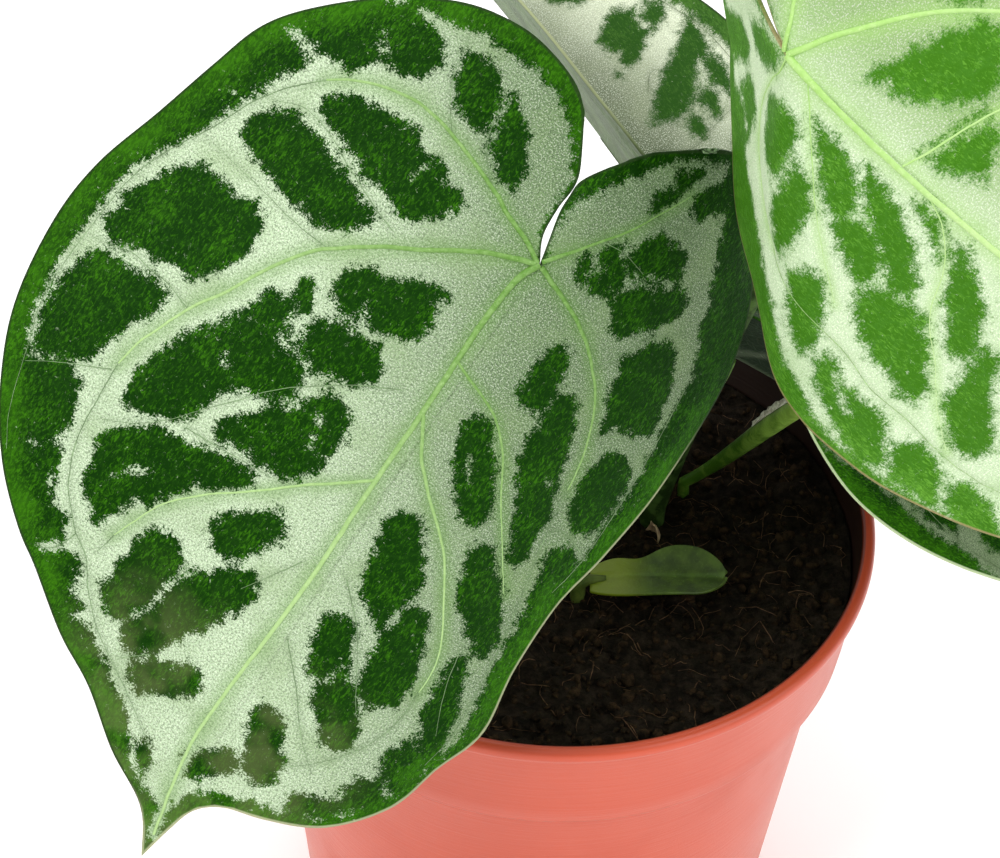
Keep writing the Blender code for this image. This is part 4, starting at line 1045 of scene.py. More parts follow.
def blade_material(name, look):
    """Upper face: deep green islands and border in a silver net, grained and quilted."""
    f = Finish(name)
    flat, root = f.flat(), f.node("ShaderNodeUVMap", uv_map="root").outputs["UV"]
    across, along = f.parts(flat)
    dark, edge = f.value("dark"), f.value("edge")
    size = look["grain"]

    def centred(value, amount):
        return f.times(f.minus(value, 0.5), amount * size)

    field = f.add(dark, look["spread"] * size,
                  centred(f.noise(flat, 0.40 / size, 4.0, 0.7), 5.5),
                  centred(f.noise(root, 2.0 / size, 3.0, 0.7, 0.4), look["teeth"]),
                  centred(f.noise(flat, 3.0 / size, 3.0, 0.75), 5.0))
    green = f.spread(field, -0.35 * look["soft"], 0.4 * look["soft"])
    flecks = f.spread(f.noise(flat, 1.1 / size, 4.0, 0.75, 0.6), 0.64, 0.69)
    green = f.minus(green, f.times(flecks, f.spread(dark, 5.5 * size, 1.0 * size, 0.0, 0.75)))
    # Deep part: brighter patches, streaks and border, a fine net, and haze near the tip.
    patches = f.noise(flat, 0.15 / size, 3.0, 0.6)
    streaks = f.noise(f.scaled(flat, 2.2 / size, 0.9 / size, 1.0), 1.0, 4.0, 0.75, 0.8)
    border = f.times(f.spread(edge, 7.0 * size, 1.5 * size),
                     f.math("MAXIMUM", f.spread(across, 5.0, -5.0), f.spread(along, -10.0, 6.0)))
    bright = f.add(f.times(f.spread(patches, 0.42, 0.66), 0.38), f.times(border, look["border"]),
                   f.spread(streaks, 0.42, 0.72, -0.35, 0.75),
                   f.spread(across, -20.0, -60.0, 0.0, look["sunny"]))
    deep = f.mix(bright, look["deep"], look["bright"])
    wobble = f.node("ShaderNodeTexNoise", {"Vector": flat, "Scale": 0.9 / size}).outputs["Color"]
    net = f.cells(f.vector("ADD", flat, wobble)[0], 0.34 / size, 0.12)
    deep = f.mix(f.times(f.minus(1.0, net), look["net"]), deep, look["netting"])
    haze = f.times(f.spread(f.noise(flat, 0.12 / size, 2.0), 0.36, 0.60, 0.0, look["haze"]),
                   f.spread(along, 72.0, 90.0),
                   f.spread(f.math("ABSOLUTE", across), 34.0, 16.0))
    deep = f.mix(haze, deep, look["hazy"])
    # Silver part: painted white glints and dark specks on a base that pales away from the petiole,
    # partly its own colour and partly painted sheen and shade.
    tone = f.add(f.times(across, look["pale_across"]), f.times(along, look["pale_along"]),
                 f.times(f.vector("LENGTH", flat)["Value"], look["pale_away"]),
                 f.times(f.math("MINIMUM", along, 0.0), look["pale_behind"]),
                 f.times(f.minus(f.noise(flat, 0.07, 2.0), 0.5), 15.0))
    tone = f.spread(tone, look["pale_from"], look["pale_to"], look["pale_least"], 1.0)
    grain = f.noise(flat, 2.6 / size, 3.0, 0.8)
    low = f.mix(tone, scaled_colour(look["shade"], look["grit"]),
                scaled_colour(look["silver"], look["grit"]))
    silver = f.mix(f.spread(grain, 0.40, 0.57), low, f.mix(tone, look["shade"], look["silver"]))
    glints = f.spread(f.noise(flat, 3.8 / size, 1.0, 0.5), 0.54, 0.64, 0.0, 0.9)
    silver = f.mix(glints, silver, f.mix(tone, scaled_colour(look["glint"], 0.62), look["glint"]))
    wash = f.spread(f.noise(flat, 0.10 / size, 2.0, 0.5), 0.42, 0.72, 0.0, look["wash_share"])
    silver = f.mix(wash, silver, f.mix(f.spread(grain, 0.3, 0.7),
                                       scaled_colour(look["wash"], 0.7), look["wash"]))
    rib = f.spread(f.value("rib"), 2.4 * size, 0.3 * size, 0.0, look["rib_band"])
    silver = f.mix(rib, silver, look["rib"])
    crease = f.spread(f.value("crease"), 1.3 * size, 0.1 * size, 0.0, 0.2)
    silver = f.mix(crease, silver, scaled_colour(look["shade"], 0.7))
    # A thin edge, of its own colour on the outer right side.
    thin = f.times(f.spread(edge, look["edge_width"], 0.4 * look["edge_width"], 0.0,
                            look["edge_share"]),
                   f.spread(along, -16.0, -2.0, look["edge_behind"], 1.0))
    pale_side = f.times(f.spread(across, -6.0, 6.0), f.spread(along, 2.0, 20.0))
    colour = f.mix(thin, f.mix(green, silver, deep),
                   f.mix(pale_side, look["edge"], look["edge_right"]))
    height = f.add(f.times(grain, 0.45), f.noise(flat, 0.8 / size, 2.0, 0.6))
    return f.done(colour, 0.46, f.bump(height, 0.0004 * size, 0.6),
                  Specular_IOR_Level=look["gloss"])


def underside_material(name, look):
    """Lower face: plain and pale, with a raised net and the face's islands showing faintly."""
    f = Finish(name)
    flat, under = f.flat(), look["under"]
    pale = f.mix(f.spread(f.noise(flat, 0.12, 3.0, 0.6), 0.35, 0.7), under,
                 scaled_colour(under, 1.35))
    net = f.cells(flat, 0.4, 0.1)
    pale = f.mix(f.times(f.minus(1.0, net), 0.35), pale, scaled_colour(under, 1.7))
    pale = f.mix(f.spread(f.value("dark"), -1.5, 1.5, 0.0, 0.35), pale, scaled_colour(under, 0.6))
    pale = f.mix(f.spread(f.value("rib"), 1.8, 0.2, 0.0, 0.8), pale, look["rib"])
    normal = f.bump(f.add(net, f.noise(flat, 1.2, 3.0)), 0.0003, 0.5)
    return f.done(pale, 0.55, normal, Specular_IOR_Level=0.35)


def plain_green(name, colour, pale, scale=0.4, rough=0.42, start=None, reach=60.0):
    """Stalks and ribs: green with streaks and specks of a second colour, more of it away from a
    start point.
    """
    f = Finish(name)
    at = f.in_mm()
    streaks = f.noise(at, scale, 4.0, 0.6, 0.4)
    share = f.spread(streaks, 0.35, 0.7)
    if start is not None:
        away = f.vector("DISTANCE", at, tuple(start))["Value"]
        share = f.add(f.times(share, 0.3), f.spread(away, 4.0, reach, 0.0, 0.85))
    specks = f.noise(at, 2.5, 2.0, 0.6)
    tone = f.mix(f.spread(specks, 0.58, 0.72, 0.0, 0.3), f.mix(share, colour, pale),
                 scaled_colour(pale, 1.25))
    normal = f.bump(f.add(streaks, specks), 0.00015, 0.5)
    return f.done(tone, rough, normal, Specular_IOR_Level=0.2)


def pot_material(colour, shade):
    """Moulded plastic: even colour, faint flow marks, rings, scuffs, dust, painted shade."""
    # The last of these colours is painted shade for the inside of the wall.
    pale_scuff, pale_dust, painted_inner_shade = (0.80, 0.46, 0.36), (0.30, 0.16, 0.11), (0.010, 0.006, 0.004)
    inward_slope = 0.098
    f = Finish("terracotta plastic")
    at = f.in_mm()
    height = f.node("ShaderNodeSeparateXYZ", {"Vector": at}).outputs["Z"]
    clouds = f.noise(at, 0.03, 4.0, 0.55, 0.3)
    tone = f.mix(f.spread(clouds, 0.35, 0.7), colour, shade)
    rings = f.noise(f.scaled(at, 0.05, 0.05, 1.6), 1.0, 4.0, 0.6)
    scuffs = f.spread(f.noise(at, 0.35, 6.0, 0.75, 1.2), 0.66, 0.78)
    tone = f.mix(f.times(scuffs, 0.22), tone, pale_scuff)
    dust = f.spread(f.noise(at, 1.1, 3.0, 0.7), 0.68, 0.8, 0.0, 0.5)
    low = f.spread(height, 0.0, 30.0, 1.0, 0.0)
    tone = f.mix(f.times(dust, f.times(low, 0.6)), tone, pale_dust)
    # The inside of the wall is painted nearly black as shade, down to just below the soil's
    # surface.
    away = f.vector("LENGTH", f.vector("MULTIPLY", at, (1, 1, 0))[0])["Value"]
    wall = f.minus(away, f.times(f.minus(height, POT_HEIGHT), inward_slope))
    inner = f.times(f.spread(wall, RIM_INNER + 0.45, RIM_INNER + 0.15, 0.0, 0.99),
                    f.spread(height, SOIL_TOP - 6.0, SOIL_TOP - 5.0))
    tone = f.mix(inner, tone, painted_inner_shade)
    # Painted shade: the top of the rim is darkened.
    rim = f.spread(height, POT_HEIGHT - 1.2, POT_HEIGHT - 0.1)
    tone = f.mix(f.times(rim, 0.55), tone, scaled_colour(colour, 0.55))
    bump = f.bump(f.add(f.times(rings, 0.7), f.times(f.noise(at, 2.2, 3.0, 0.6), 0.25)),
                  0.00018, 0.5)
    rough = f.spread(f.add(clouds, f.times(scuffs, 0.3)), 0.3, 0.9, 0.30, 0.48)
    return f.done(tone, rough, bump, Specular_IOR_Level=0.4)


def soil_material(name, dark, light):
    """Matt peat: clods of two browns, with pale specks."""
    f = Finish(name)
    at = f.in_mm()
    clods = f.noise(at, 0.45, 6.0, 0.7)
    tone = f.mix(f.spread(clods, 0.35, 0.75), dark, light)
    specks = f.noise(at, 2.8, 3.0, 0.7)
    tone = f.mix(f.spread(specks, 0.66, 0.78, 0.0, 0.7), tone, scaled_colour(light, 2.2))
    normal = f.bump(f.add(clods, f.times(specks, 0.6)), 0.0009, 1.0)
    return f.done(tone, 0.95, normal, Specular_IOR_Level=0.08)


def dry_material(name, dark, light, grain, contrast, rough, height_scale, depth, strength=0.8,
                 detail=4.0):
    """Dry stem and papery sheaths: fibres from dark to light."""
    f = Finish(name)
    fibre = f.noise(f.in_mm(height_scale), grain, detail, 0.7)
    tone = f.mix(f.spread(fibre, 0.5 - contrast, 0.5 + contrast), dark, light)
    return f.done(tone, rough, f.bump(fibre, depth, strength))


# Pieces.

def leaf_looks(settings):
    """Colours and pattern sizes of each leaf, most of them shared."""
    leaf = settings.leaf
    base = {
        "deep": tuple(leaf.deep), "bright": tuple(leaf.bright), "silver": tuple(leaf.silver),
        "shade": tuple(leaf.silver_shade), "glint": (0.68, 0.78, 0.58), "wash": (0.24, 0.36, 0.15),
        "wash_share": 0.4, "rib": tuple(leaf.rib), "rib_far": tuple(leaf.rib_far), "rib_band": 0.35,
        "netting": (0.02, 0.085, 0.006), "net": 0.15, "edge": (0.02, 0.04, 0.012),
        "edge_right": (0.42, 0.44, 0.26), "edge_share": 0.8, "under": tuple(leaf.underside),
        "grain": 1.0, "spread": 0.5, "border": 0.52, "gloss": 0.03, "soft": 1.0, "teeth": 2.4,
        "edge_width": 0.55, "edge_behind": 1.0, "sunny": 0.05,
        "haze": 0.38, "hazy": (0.14, 0.18, 0.06), "pale_across": -0.95,
        "pale_along": 0.25, "pale_away": 0.35, "pale_behind": 0.6, "pale_from": -2.0,
        "pale_to": 54.0, "pale_least": 0.05, "grit": 0.5,
    }
    looks = {name: dict(base) for name in LEAVES}
    looks["leaf_right"].update(
        deep=(0.045, 0.165, 0.008), bright=(0.130, 0.345, 0.035), silver=(0.59, 0.74, 0.47),
        shade=(0.26, 0.40, 0.155), glint=(0.80, 0.88, 0.68), wash=(0.30, 0.52, 0.16),
        netting=(0.06, 0.20, 0.02), net=0.3, edge=(0.42, 0.30, 0.16), edge_share=0.7,
        rib=(0.34, 0.58, 0.15), rib_far=(0.56, 0.72, 0.36), border=0.3, wash_share=0.3, soft=3.0,
        spread=0.45, teeth=3.2, grit=0.84, sunny=0.0, edge_behind=0.1,
        # The steep paling across it is partly painted shade on its right half.
        haze=0.3, hazy=(0.30, 0.50, 0.16), pale_across=-2.4, pale_along=0.1, pale_away=0.1,
        pale_from=-30.0, pale_to=26.0)
    looks["leaf_back"].update(
        deep=(0.022, 0.075, 0.010), bright=(0.065, 0.16, 0.025), silver=(0.66, 0.72, 0.53),
        shade=(0.125, 0.160, 0.090), glint=(0.85, 0.90, 0.74), wash=(0.34, 0.40, 0.24), grain=0.8,
        # Its ribs, and the band round them, are painted near black: a painted shadow along the fold
        # at its midrib.
        rib=(0.045, 0.055, 0.025), rib_far=(0.10, 0.12, 0.06), soft=2.6, grit=0.75, rib_band=0.5,
        under=(0.13, 0.19, 0.085),
        pale_across=-0.9, pale_along=0.42, pale_away=0.0, pale_from=10.0, pale_to=38.0)
    looks["leaf_low"].update(
        grain=0.75, pale_least=0.4, edge=(0.52, 0.64, 0.36), edge_share=0.95, soft=1.6,
        edge_width=0.3,
        # Its silver, specks, glints and wash are painted dark: painted shade on the low leaf.
        silver=(0.20, 0.27, 0.15), shade=(0.12, 0.18, 0.08), glint=(0.28, 0.34, 0.22),
        wash=(0.12, 0.20, 0.07))
    looks["leaf_rear"].update(
        # Its silver, specks, glints, wash and underside are painted dark: painted shade on the leaf
        # low behind the others.
        grain=0.7, silver=(0.13, 0.17, 0.11), shade=(0.05, 0.075, 0.045),
        under=(0.030, 0.048, 0.028), glint=(0.22, 0.26, 0.18), wash=(0.04, 0.07, 0.03),
        rib=(0.16, 0.20, 0.13),
        rib_far=(0.20, 0.25, 0.16), edge_share=0.4)
    return looks


def make_blade(name, settings):
    """A leaf's blade, a sheet with its own face and underside."""
    leaf, look = LEAVES[name], leaf_looks(settings)[name]
    mesh = blade_mesh(name + "_blade", leaf, marks_of(name), settings.leaf.quilting * 1000)
    face = blade_material(name + " face", look)
    under = underside_material(name + " underside", look)
    piece = finished(name + "_blade", mesh, [face, under], name)
    thick = thickened(piece, settings.leaf.thickness, -1)
    thick.material_offset = 1
    thick.material_offset_rim = 0
    thick.use_even_offset = False


def make_ribs(name, settings):
    """A leaf's raised ribs and the thin creases between them."""
    leaf, marks, look = LEAVES[name], marks_of(name), leaf_looks(settings)[name]
    size = settings.leaf.rib_size * leaf["scale"] ** 0.3
    quilting = settings.leaf.quilting * 1000
    ribs = [(a * size, b * size, -0.3, line) for a, b, line in marks["ribs"]]
    green = plain_green(name + " rib", look["rib"], look["rib_far"], 0.9, 0.5, leaf["origin"],
                        75 * leaf["scale"])
    finished(name + "_ribs", rib_curves(name + "_ribs", leaf, marks, ribs, quilting), [green],
             name)
    creases = [(0.10 * size, 0.05 * size, 0.2, line) for line in marks["creases"]]
    tone = tuple(0.95 * a + 0.05 * b for a, b in zip(look["shade"], look["deep"]))
    green = plain_green(name + " crease", scaled_colour(tone, 0.8), scaled_colour(tone, 1.5),
                        0.5, 0.6)
    finished(name + "_creases", rib_curves(name + "_creases", leaf, marks, creases, quilting),
             [green], name)


def make_petiole(name, settings):
    """A leaf's stalk, slightly uneven and swollen just below the blade."""
    leaf = LEAVES[name]
    path, radii = bezier_path(petiole_knots(leaf), leaf["radii"], 26)
    length = np.concatenate([[0], np.cumsum(np.linalg.norm(np.diff(path, axis=0), axis=1))])
    from_top = length[-1] - length
    swell = 0.35 * np.exp(-((from_top - 7) / 5.5) ** 2)
    swell += 0.03 * np.array([noise.noise((z * 0.18, len(name), 0.5)) for z in length])
    colour = tuple(settings.leaf.petiole)
    # The low leaf's stalk has a painted highlight near its blade; it and the right-hand leaf's
    # stalk darken with painted shade towards the soil.
    looks = {
        "leaf_low": ((0.46, 0.70, 0.12), (0.04, 0.11, 0.006), 0.35, 0.4, leaf["origin"], 70),
        "leaf_right": (scaled_colour(colour, 1.1), (0.012, 0.030, 0.004), 0.35, 0.5,
                       leaf["origin"], 130),
    }
    look = looks.get(name, (colour, scaled_colour(colour, 1.45), 0.35, 0.36))
    if name == "leaf_low":
        make_stalk_sheath(path, radii)
    finished(name + "_petiole", tube_curve(name + "_petiole", path, radii * (1 + swell), 4),
             [plain_green(name + " petiole", *look)], name)


def make_stalk_sheath(path, radii):
    """A ragged papery strip along the top of the low leaf's stalk."""
    rng = random.Random(5)
    rows, columns, ridge = 44, 4, 2
    starts, ends, lean = 0.60, 0.95, Vector((-0.25, 0.1, 1))
    places = np.linspace(starts, ends, rows + 1) * (len(path) - 1)
    bm = bmesh.new()
    made = bmesh.ops.create_grid(bm, x_segments=columns, y_segments=rows, size=1)["verts"]
    for i, vert in enumerate(made):
        row, col = divmod(i, columns + 1)
        low = min(int(places[row]), len(path) - 2)
        part = places[row] - low
        at = Vector(path[low] * (1 - part) + path[low + 1] * part)
        along = Vector(path[low + 1] - path[low]).normalized()
        up = (lean - along * along.dot(lean)).normalized()
        radius = float(radii[low]) + 0.15
        angle = (col / columns - 0.5) * 0.8
        rise = 0.35 + (0.75 * math.sin(math.pi * row / rows) + rng.uniform(-0.2, 0.25)) * (
            col == ridge)
        out = up * math.cos(angle) + along.cross(up) * math.sin(angle)
        vert.co = (at + out * (radius + rise * (0.2 + 0.8 * (col == ridge)))) * MM
    bmesh.ops.recalc_face_normals(bm, faces=bm.faces)
    paper = dry_material("stalk sheath", (0.42, 0.38, 0.27), (0.85, 0.82, 0.70), 1.4, 0.15,
                         0.75, 1000, 0.0003)
    piece = finished("stalk_sheath", mesh_from(bm, "stalk_sheath"), [paper], "leaf_low")
    thickened(piece, 0.15 * MM, 0)


def make_pot(settings):
    """The pot: tapered body, tall collar, rounded lip and drain holes."""
    shoulder, lip = POT_HEIGHT - COLLAR_HEIGHT, POT_HEIGHT - LIP_HEIGHT
    profile = [
        (0, 0.9), (24, 0.9), (25, 0.1), (BASE_RADIUS - 2.2, 0.0), (BASE_RADIUS - 1.2, 0.15),
        (BASE_RADIUS - 0.5, 0.7), (BASE_RADIUS + 0.05, 2.2), (BASE_RADIUS + 1.2, 12.0),
        (BODY_TOP_RADIUS - 2.2, shoulder - 22.0), (BODY_TOP_RADIUS - 0.05, shoulder - 1.2),
        (BODY_TOP_RADIUS + 0.1, shoulder - 0.8), (COLLAR_FOOT_RADIUS - 0.9, shoulder - 0.25),
        (COLLAR_FOOT_RADIUS - 0.25, shoulder + 0.05), (COLLAR_FOOT_RADIUS + 0.05, shoulder + 0.7),
        (COLLAR_FOOT_RADIUS + 0.5, shoulder + 4.5), (RIM_RADIUS - 1.55, lip - 1.4),
        (RIM_RADIUS - 1.3, lip - 0.5), (RIM_RADIUS - 0.6, lip), (RIM_RADIUS - 0.1, lip + 0.6),
        (RIM_RADIUS, lip + 1.2),
        (RIM_RADIUS - 0.05, POT_HEIGHT - 1.0), (RIM_RADIUS - 0.35, POT_HEIGHT - 0.4),
        (RIM_RADIUS - 0.9, POT_HEIGHT - 0.06), (RIM_INNER + 0.7, POT_HEIGHT),
        (RIM_INNER + 0.1, POT_HEIGHT - 0.2), (RIM_INNER - 0.3, POT_HEIGHT - 0.8),
        (COLLAR_FOOT_RADIUS - 0.8, shoulder + 2.0), (BODY_TOP_RADIUS - WALL, shoulder - 1.2),
        (BASE_RADIUS - WALL, BASE_THICKNESS + 0.8), (BASE_RADIUS - WALL - 0.8, BASE_THICKNESS),
        (0, BASE_THICKNESS),
    ]
    mesh = mesh_from(turned(profile, 192), "pot_body")
    body = bpy.data.objects.new("pot_body", mesh)
    bpy.context.scene.collection.objects.link(body)
    bm = bmesh.new()
    for i in range(DRAIN_COUNT):
        a = math.tau * (i + 0.5) / DRAIN_COUNT
        place = Matrix.Translation((DRAIN_RING * MM * math.cos(a),
                                    DRAIN_RING * MM * math.sin(a), 0))
        bmesh.ops.create_cone(bm, cap_ends=True, segments=36, radius1=DRAIN_RADIUS * MM,
                              radius2=DRAIN_RADIUS * MM, depth=10 * MM, matrix=place)
    cutter = bpy.data.objects.new("drain_cutter", mesh_from(bm, "drain_cutter"))
    bpy.context.scene.collection.objects.link(cutter)
    cut = body.modifiers.new("drains", "BOOLEAN")
    cut.operation, cut.solver, cut.object = "DIFFERENCE", "EXACT", cutter
    mesh = settled(body, "pot_shell")
    bpy.data.objects.remove(cutter, do_unlink=True)
    plastic = pot_material(tuple(settings.pot.colour), tuple(settings.pot.shade))
    finished("pot_shell", mesh, [plastic], "pot")
    mesh.set_sharp_from_angle(angle=math.radians(50))


def soil_height(x, y):
    """Height of the soil's surface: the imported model's heave with finer clods on it."""
    r = math.hypot(x, y)
    heave = math.sin(0.21 * x + 1.0) * math.cos(0.17 * y) + 0.6 * math.sin(0.4 * x - 0.33 * y)
    z = SOIL_TOP + 0.8 * heave * (1 - (r / 60) ** 4)
    clods = 1.5 * noise.noise((x * 0.16, y * 0.16, 3.0))
    clods += 1.0 * noise.noise((x * 0.45, y * 0.45, 8.0))
    clods += 0.6 * noise.noise((x * 1.1, y * 1.1, 5.0))
    return z + clods * min(1.0, (58 - r) / 5)


def make_soil(settings):
    """The soil's rough surface, with crumbs and fibres lying on it."""
    rng = random.Random(7)
    outer = RIM_INNER - 1.45
    profile = [(r, SOIL_TOP) for r in np.linspace(0, outer, 90)]
    profile += [(outer - 0.15, SOIL_TOP - 3.0),
                (COLLAR_FOOT_RADIUS - 1.2, POT_HEIGHT - COLLAR_HEIGHT + 2.4),
                (BODY_TOP_RADIUS - WALL - 0.4, POT_HEIGHT - COLLAR_HEIGHT - 1.6),
                (BASE_RADIUS - WALL - 0.6, BASE_THICKNESS + 1.2), (0, BASE_THICKNESS + 0.3)]
    bm = turned(profile, 300)
    for vert in bm.verts:
        x, y, z = (c / MM for c in vert.co)
        if z > SOIL_TOP - 0.5:
            vert.co.z = soil_height(x, y) * MM
    dark, light = tuple(settings.soil.dark), tuple(settings.soil.light)
    peat = soil_material("potting soil", scaled_colour(dark, 1.3), scaled_colour(light, 1.7))
    finished("soil_bed", mesh_from(bm, "soil_bed"), [peat], "soil")
    # Crumbs are made a block at a time, because making them all in one mesh is slow.
    bm, block = bmesh.new(), bmesh.new()
    carry, block_size = bpy.data.meshes.new("soil_block"), 60
    for i in range(settings.soil.crumbs):
        a, r = rng.uniform(0, math.tau), (outer - 1.5) * math.sqrt(rng.random())
        x, y = r * math.cos(a), r * math.sin(a)
        size = rng.uniform(0.3, 0.9) if rng.random() < 0.85 else rng.uniform(0.9, 1.9)
        place = Matrix.Translation((x * MM, y * MM, (soil_height(x, y) + size * 0.2) * MM))
        turn = (Matrix.Rotation(rng.uniform(0, 6.3), 4, "Z")
                @ Matrix.Rotation(rng.uniform(0, 6.3), 4, "X"))
        shape = Matrix.Diagonal((size * MM, size * rng.uniform(0.5, 1) * MM,
                                 size * rng.uniform(0.35, 0.8) * MM, 1))
        made = bmesh.ops.create_icosphere(block, subdivisions=1, radius=1,
                                          matrix=place @ turn @ shape)
        for vert in made["verts"]:
            vert.co += Vector([rng.uniform(-0.18, 0.18) * size * MM for _ in range(3)])
        if i % block_size == block_size - 1 or i == settings.soil.crumbs - 1:
            block.to_mesh(carry)
            bm.from_mesh(carry)
            block.clear()
    block.free()
    bpy.data.meshes.remove(carry)
    peat = soil_material("soil crumbs", scaled_colour(dark, 1.4), (0.065, 0.038, 0.018))
    finished("soil_crumbs", mesh_from(bm, "soil_crumbs"), [peat], "soil")
    data = curve_data("soil_fibres", 0)
    for _ in range(settings.soil.fibres):
        a, r = rng.uniform(0, math.tau), (outer - 4) * math.sqrt(rng.random())
        x, y, way = r * math.cos(a), r * math.sin(a), rng.uniform(0, math.tau)
        count, bend = rng.randint(4, 7), rng.uniform(-0.5, 0.5)
        thin, step, rise = rng.uniform(0.05, 0.13), rng.uniform(0.5, 1.7), rng.uniform(0.1, 0.9)
        places = []
        for k in range(count):
            if math.hypot(x, y) > outer - 1:
                x, y = x * 0.97, y * 0.97
            z = soil_height(x, y) + rise * math.sin(math.pi * k / (count - 1)) + 0.1
            places.append((x, y, z))
            way += bend + rng.uniform(-0.3, 0.3)
            x, y = x + step * math.cos(way), y + step * math.sin(way)
        add_strand(data, places, [thin * (1 - 0.5 * k / count) for k in range(count)])
    peat = soil_material("soil fibres", (0.05, 0.028, 0.015), (0.24, 0.14, 0.075))
    finished("soil_fibres", data, [peat], "soil")


def make_young_leaf():
    """A short oval blade with raised sides and a fold, on a bent stalk."""
    foot_x, foot_y, length, width, base_height = 5.0, -13.0, 25.0, 13.0, 102.0
    turn = math.radians(1.0)
    out = np.array([math.cos(turn), math.sin(turn), 0])
    side = np.array([-math.sin(turn), math.cos(turn), 0])
    start = np.array([foot_x, foot_y, base_height - 2.0]) + out * 2.0
    rows, cols = 61, 37
    bm = bmesh.new()
    bmesh.ops.create_grid(bm, x_segments=cols - 1, y_segments=rows - 1, size=1)
    flat = []
    for i, vert in enumerate(bm.verts):
        row, col = divmod(i, cols)
        t = row / (rows - 1)
        w = 2 * col / (cols - 1) - 1
        half = 0.5 * width * (0.30 + 0.70 * math.sin(math.pi * min(1, t * 0.86 + 0.02)) ** 0.8)
        half *= math.sqrt(max(0.0, 1 - max(0.0, (t - 0.75) / 0.25) ** 2.2)) * 0.985 + 0.015
        if w > 0:
            # The dip in its back edge.
            half *= 1 - 0.42 * math.exp(-((t - 0.36) / 0.16) ** 2)
        rise = 3.0 * math.sin(math.pi * 0.5 * t) + 1.6 * w * w * math.sin(math.pi * t)
        rise += 0.5 * math.sin(6 * t + 2 * w) - 0.35 * (1 - t) * math.exp(-(w * half / 0.9) ** 2)
        place = start + out * (t * length) + side * (w * half) + np.array([0, 0, rise])
        vert.co = Vector(place * MM)
        flat.append((w * half, t * length))
    lay_uv(bm, "flat", flat)
    bm.normal_update()
    if sum(face.normal.z for face in bm.faces) < 0:
        bmesh.ops.reverse_faces(bm, faces=bm.faces)
    f = Finish("young leaf")
    at = f.flat()
    across, along = f.parts(at)
    tone = f.mix(f.spread(f.noise(at, 0.25, 3.0), 0.35, 0.7), (0.030, 0.060, 0.003),
                 (0.080, 0.14, 0.010))
    midrib = f.spread(f.math("ABSOLUTE", across), 0.9, 0.1, 0.0, 0.3)
    tone = f.mix(midrib, tone, (0.13, 0.24, 0.04))
    tone = f.mix(f.spread(along, 12.0, 5.0, 0.0, 0.85), tone, (0.19, 0.25, 0.004))
    tone = f.mix(f.spread(f.noise(at, 2.0, 2.0), 0.6, 0.75, 0.0, 0.3), tone, (0.20, 0.34, 0.06))
    green = f.done(tone, 0.42, f.bump(f.noise(at, 1.0, 3.0), 0.0003, 0.5))
    piece = finished("young_blade", mesh_from(bm, "young_blade"), [green], "young_leaf")
    thickened(piece, 0.6 * MM, -1)
    smooth = piece.modifiers.new("rounding", "SUBSURF")
    smooth.levels = smooth.render_levels = 1
    foot = np.array([foot_x, foot_y, PETIOLE_FOOT_Z])
    bend = np.array([foot_x, foot_y, SOIL_TOP + 1.5])
    end = start + out * 3.0 + np.array([0, 0, 0.2])
    path, radii = bezier_path([
        (foot, foot - (0, 0, 2), foot + (0, 0, 2)), (bend, bend - (0, 0, 3), bend + (0, 0, 2.5)),
        (end, end - out * 2.2, end + out)], (1.4, 1.4, 0.75), 16)
    finished("young_petiole", tube_curve("young_petiole", path, radii, 3),
             [plain_green("young petiole", (0.04, 0.07, 0.01), (0.10, 0.14, 0.025))],
             "young_leaf")


def make_crown():
    """The brown stem base with ragged papery sheaths round it."""
    rng = random.Random(11)
    x0, y0 = CROWN
    profile = [(0, PETIOLE_FOOT_Z)]
    profile += [(4.0, z) for z in np.linspace(PETIOLE_FOOT_Z, SOIL_TOP + 2, 6)]
    profile += [(3.7, 99.5), (3.0, 101.2), (2.0, 102.4), (0, 103.0)]
    bm = turned(profile, 40)
    for vert in bm.verts:
        x, y, z = (c / MM for c in vert.co)
        rough = 0.35 * noise.noise((x * 0.7, y * 0.7, z * 0.4))
        wider = 1 + rough * 0.3
        vert.co = Vector(((x * wider + x0) * MM, (y * wider + y0) * MM,
                          (z + rough * (z > SOIL_TOP)) * MM))
    stem = dry_material("dry stem", (0.075, 0.038, 0.020), (0.30, 0.19, 0.10), 0.8, 0.2, 0.9,
                        250, 0.0006, 0.9, 5.0)
    finished("crown_stem", mesh_from(bm, "crown_stem"), [stem], "crown")
    # Each sheath is a curled strip that narrows upward: (x, y, height).
    ring, rows, columns = 6.5, 8, 6
    sheaths = [(x0 + ring * math.cos(a), y0 + ring * math.sin(a), 7.5)
               for a in (4.4, 5.3, 0.6, 2.4)] + [(12.0, 2.0, 5.0), (20.0, 4.0, 4.0)]
    bm = bmesh.new()
    for foot_x, foot_y, tall in sheaths:
        made = bmesh.ops.create_grid(bm, x_segments=columns, y_segments=rows, size=1)["verts"]
        way = rng.uniform(0, math.tau)
        for k, vert in enumerate(made):
            row, col = divmod(k, columns + 1)
            u, v = col / columns - 0.5, row / rows
            x = u * (4.2 * (1 - v) ** 0.6 + 0.3)
            y = 1.6 * (u * u * 4) * (1 - v) + 1.8 * v * v
            z = tall * v + 0.5 * rng.uniform(-1, 1) * v
            vert.co = Vector(((foot_x + (x * math.cos(way) - y * math.sin(way))) * MM,
                              (foot_y + (x * math.sin(way) + y * math.cos(way))) * MM,
                              (SOIL_TOP - 0.8 + z) * MM))
    bmesh.ops.recalc_face_normals(bm, faces=bm.faces)
    paper = dry_material("papery sheath", (0.22, 0.13, 0.07), (0.50, 0.36, 0.22), 1.2, 0.2, 0.75,
                         300, 0.0004)
    piece = finished("crown_sheaths", mesh_from(bm, "crown_sheaths"), [paper], "crown")
    thickened(piece, 0.25 * MM, 0)


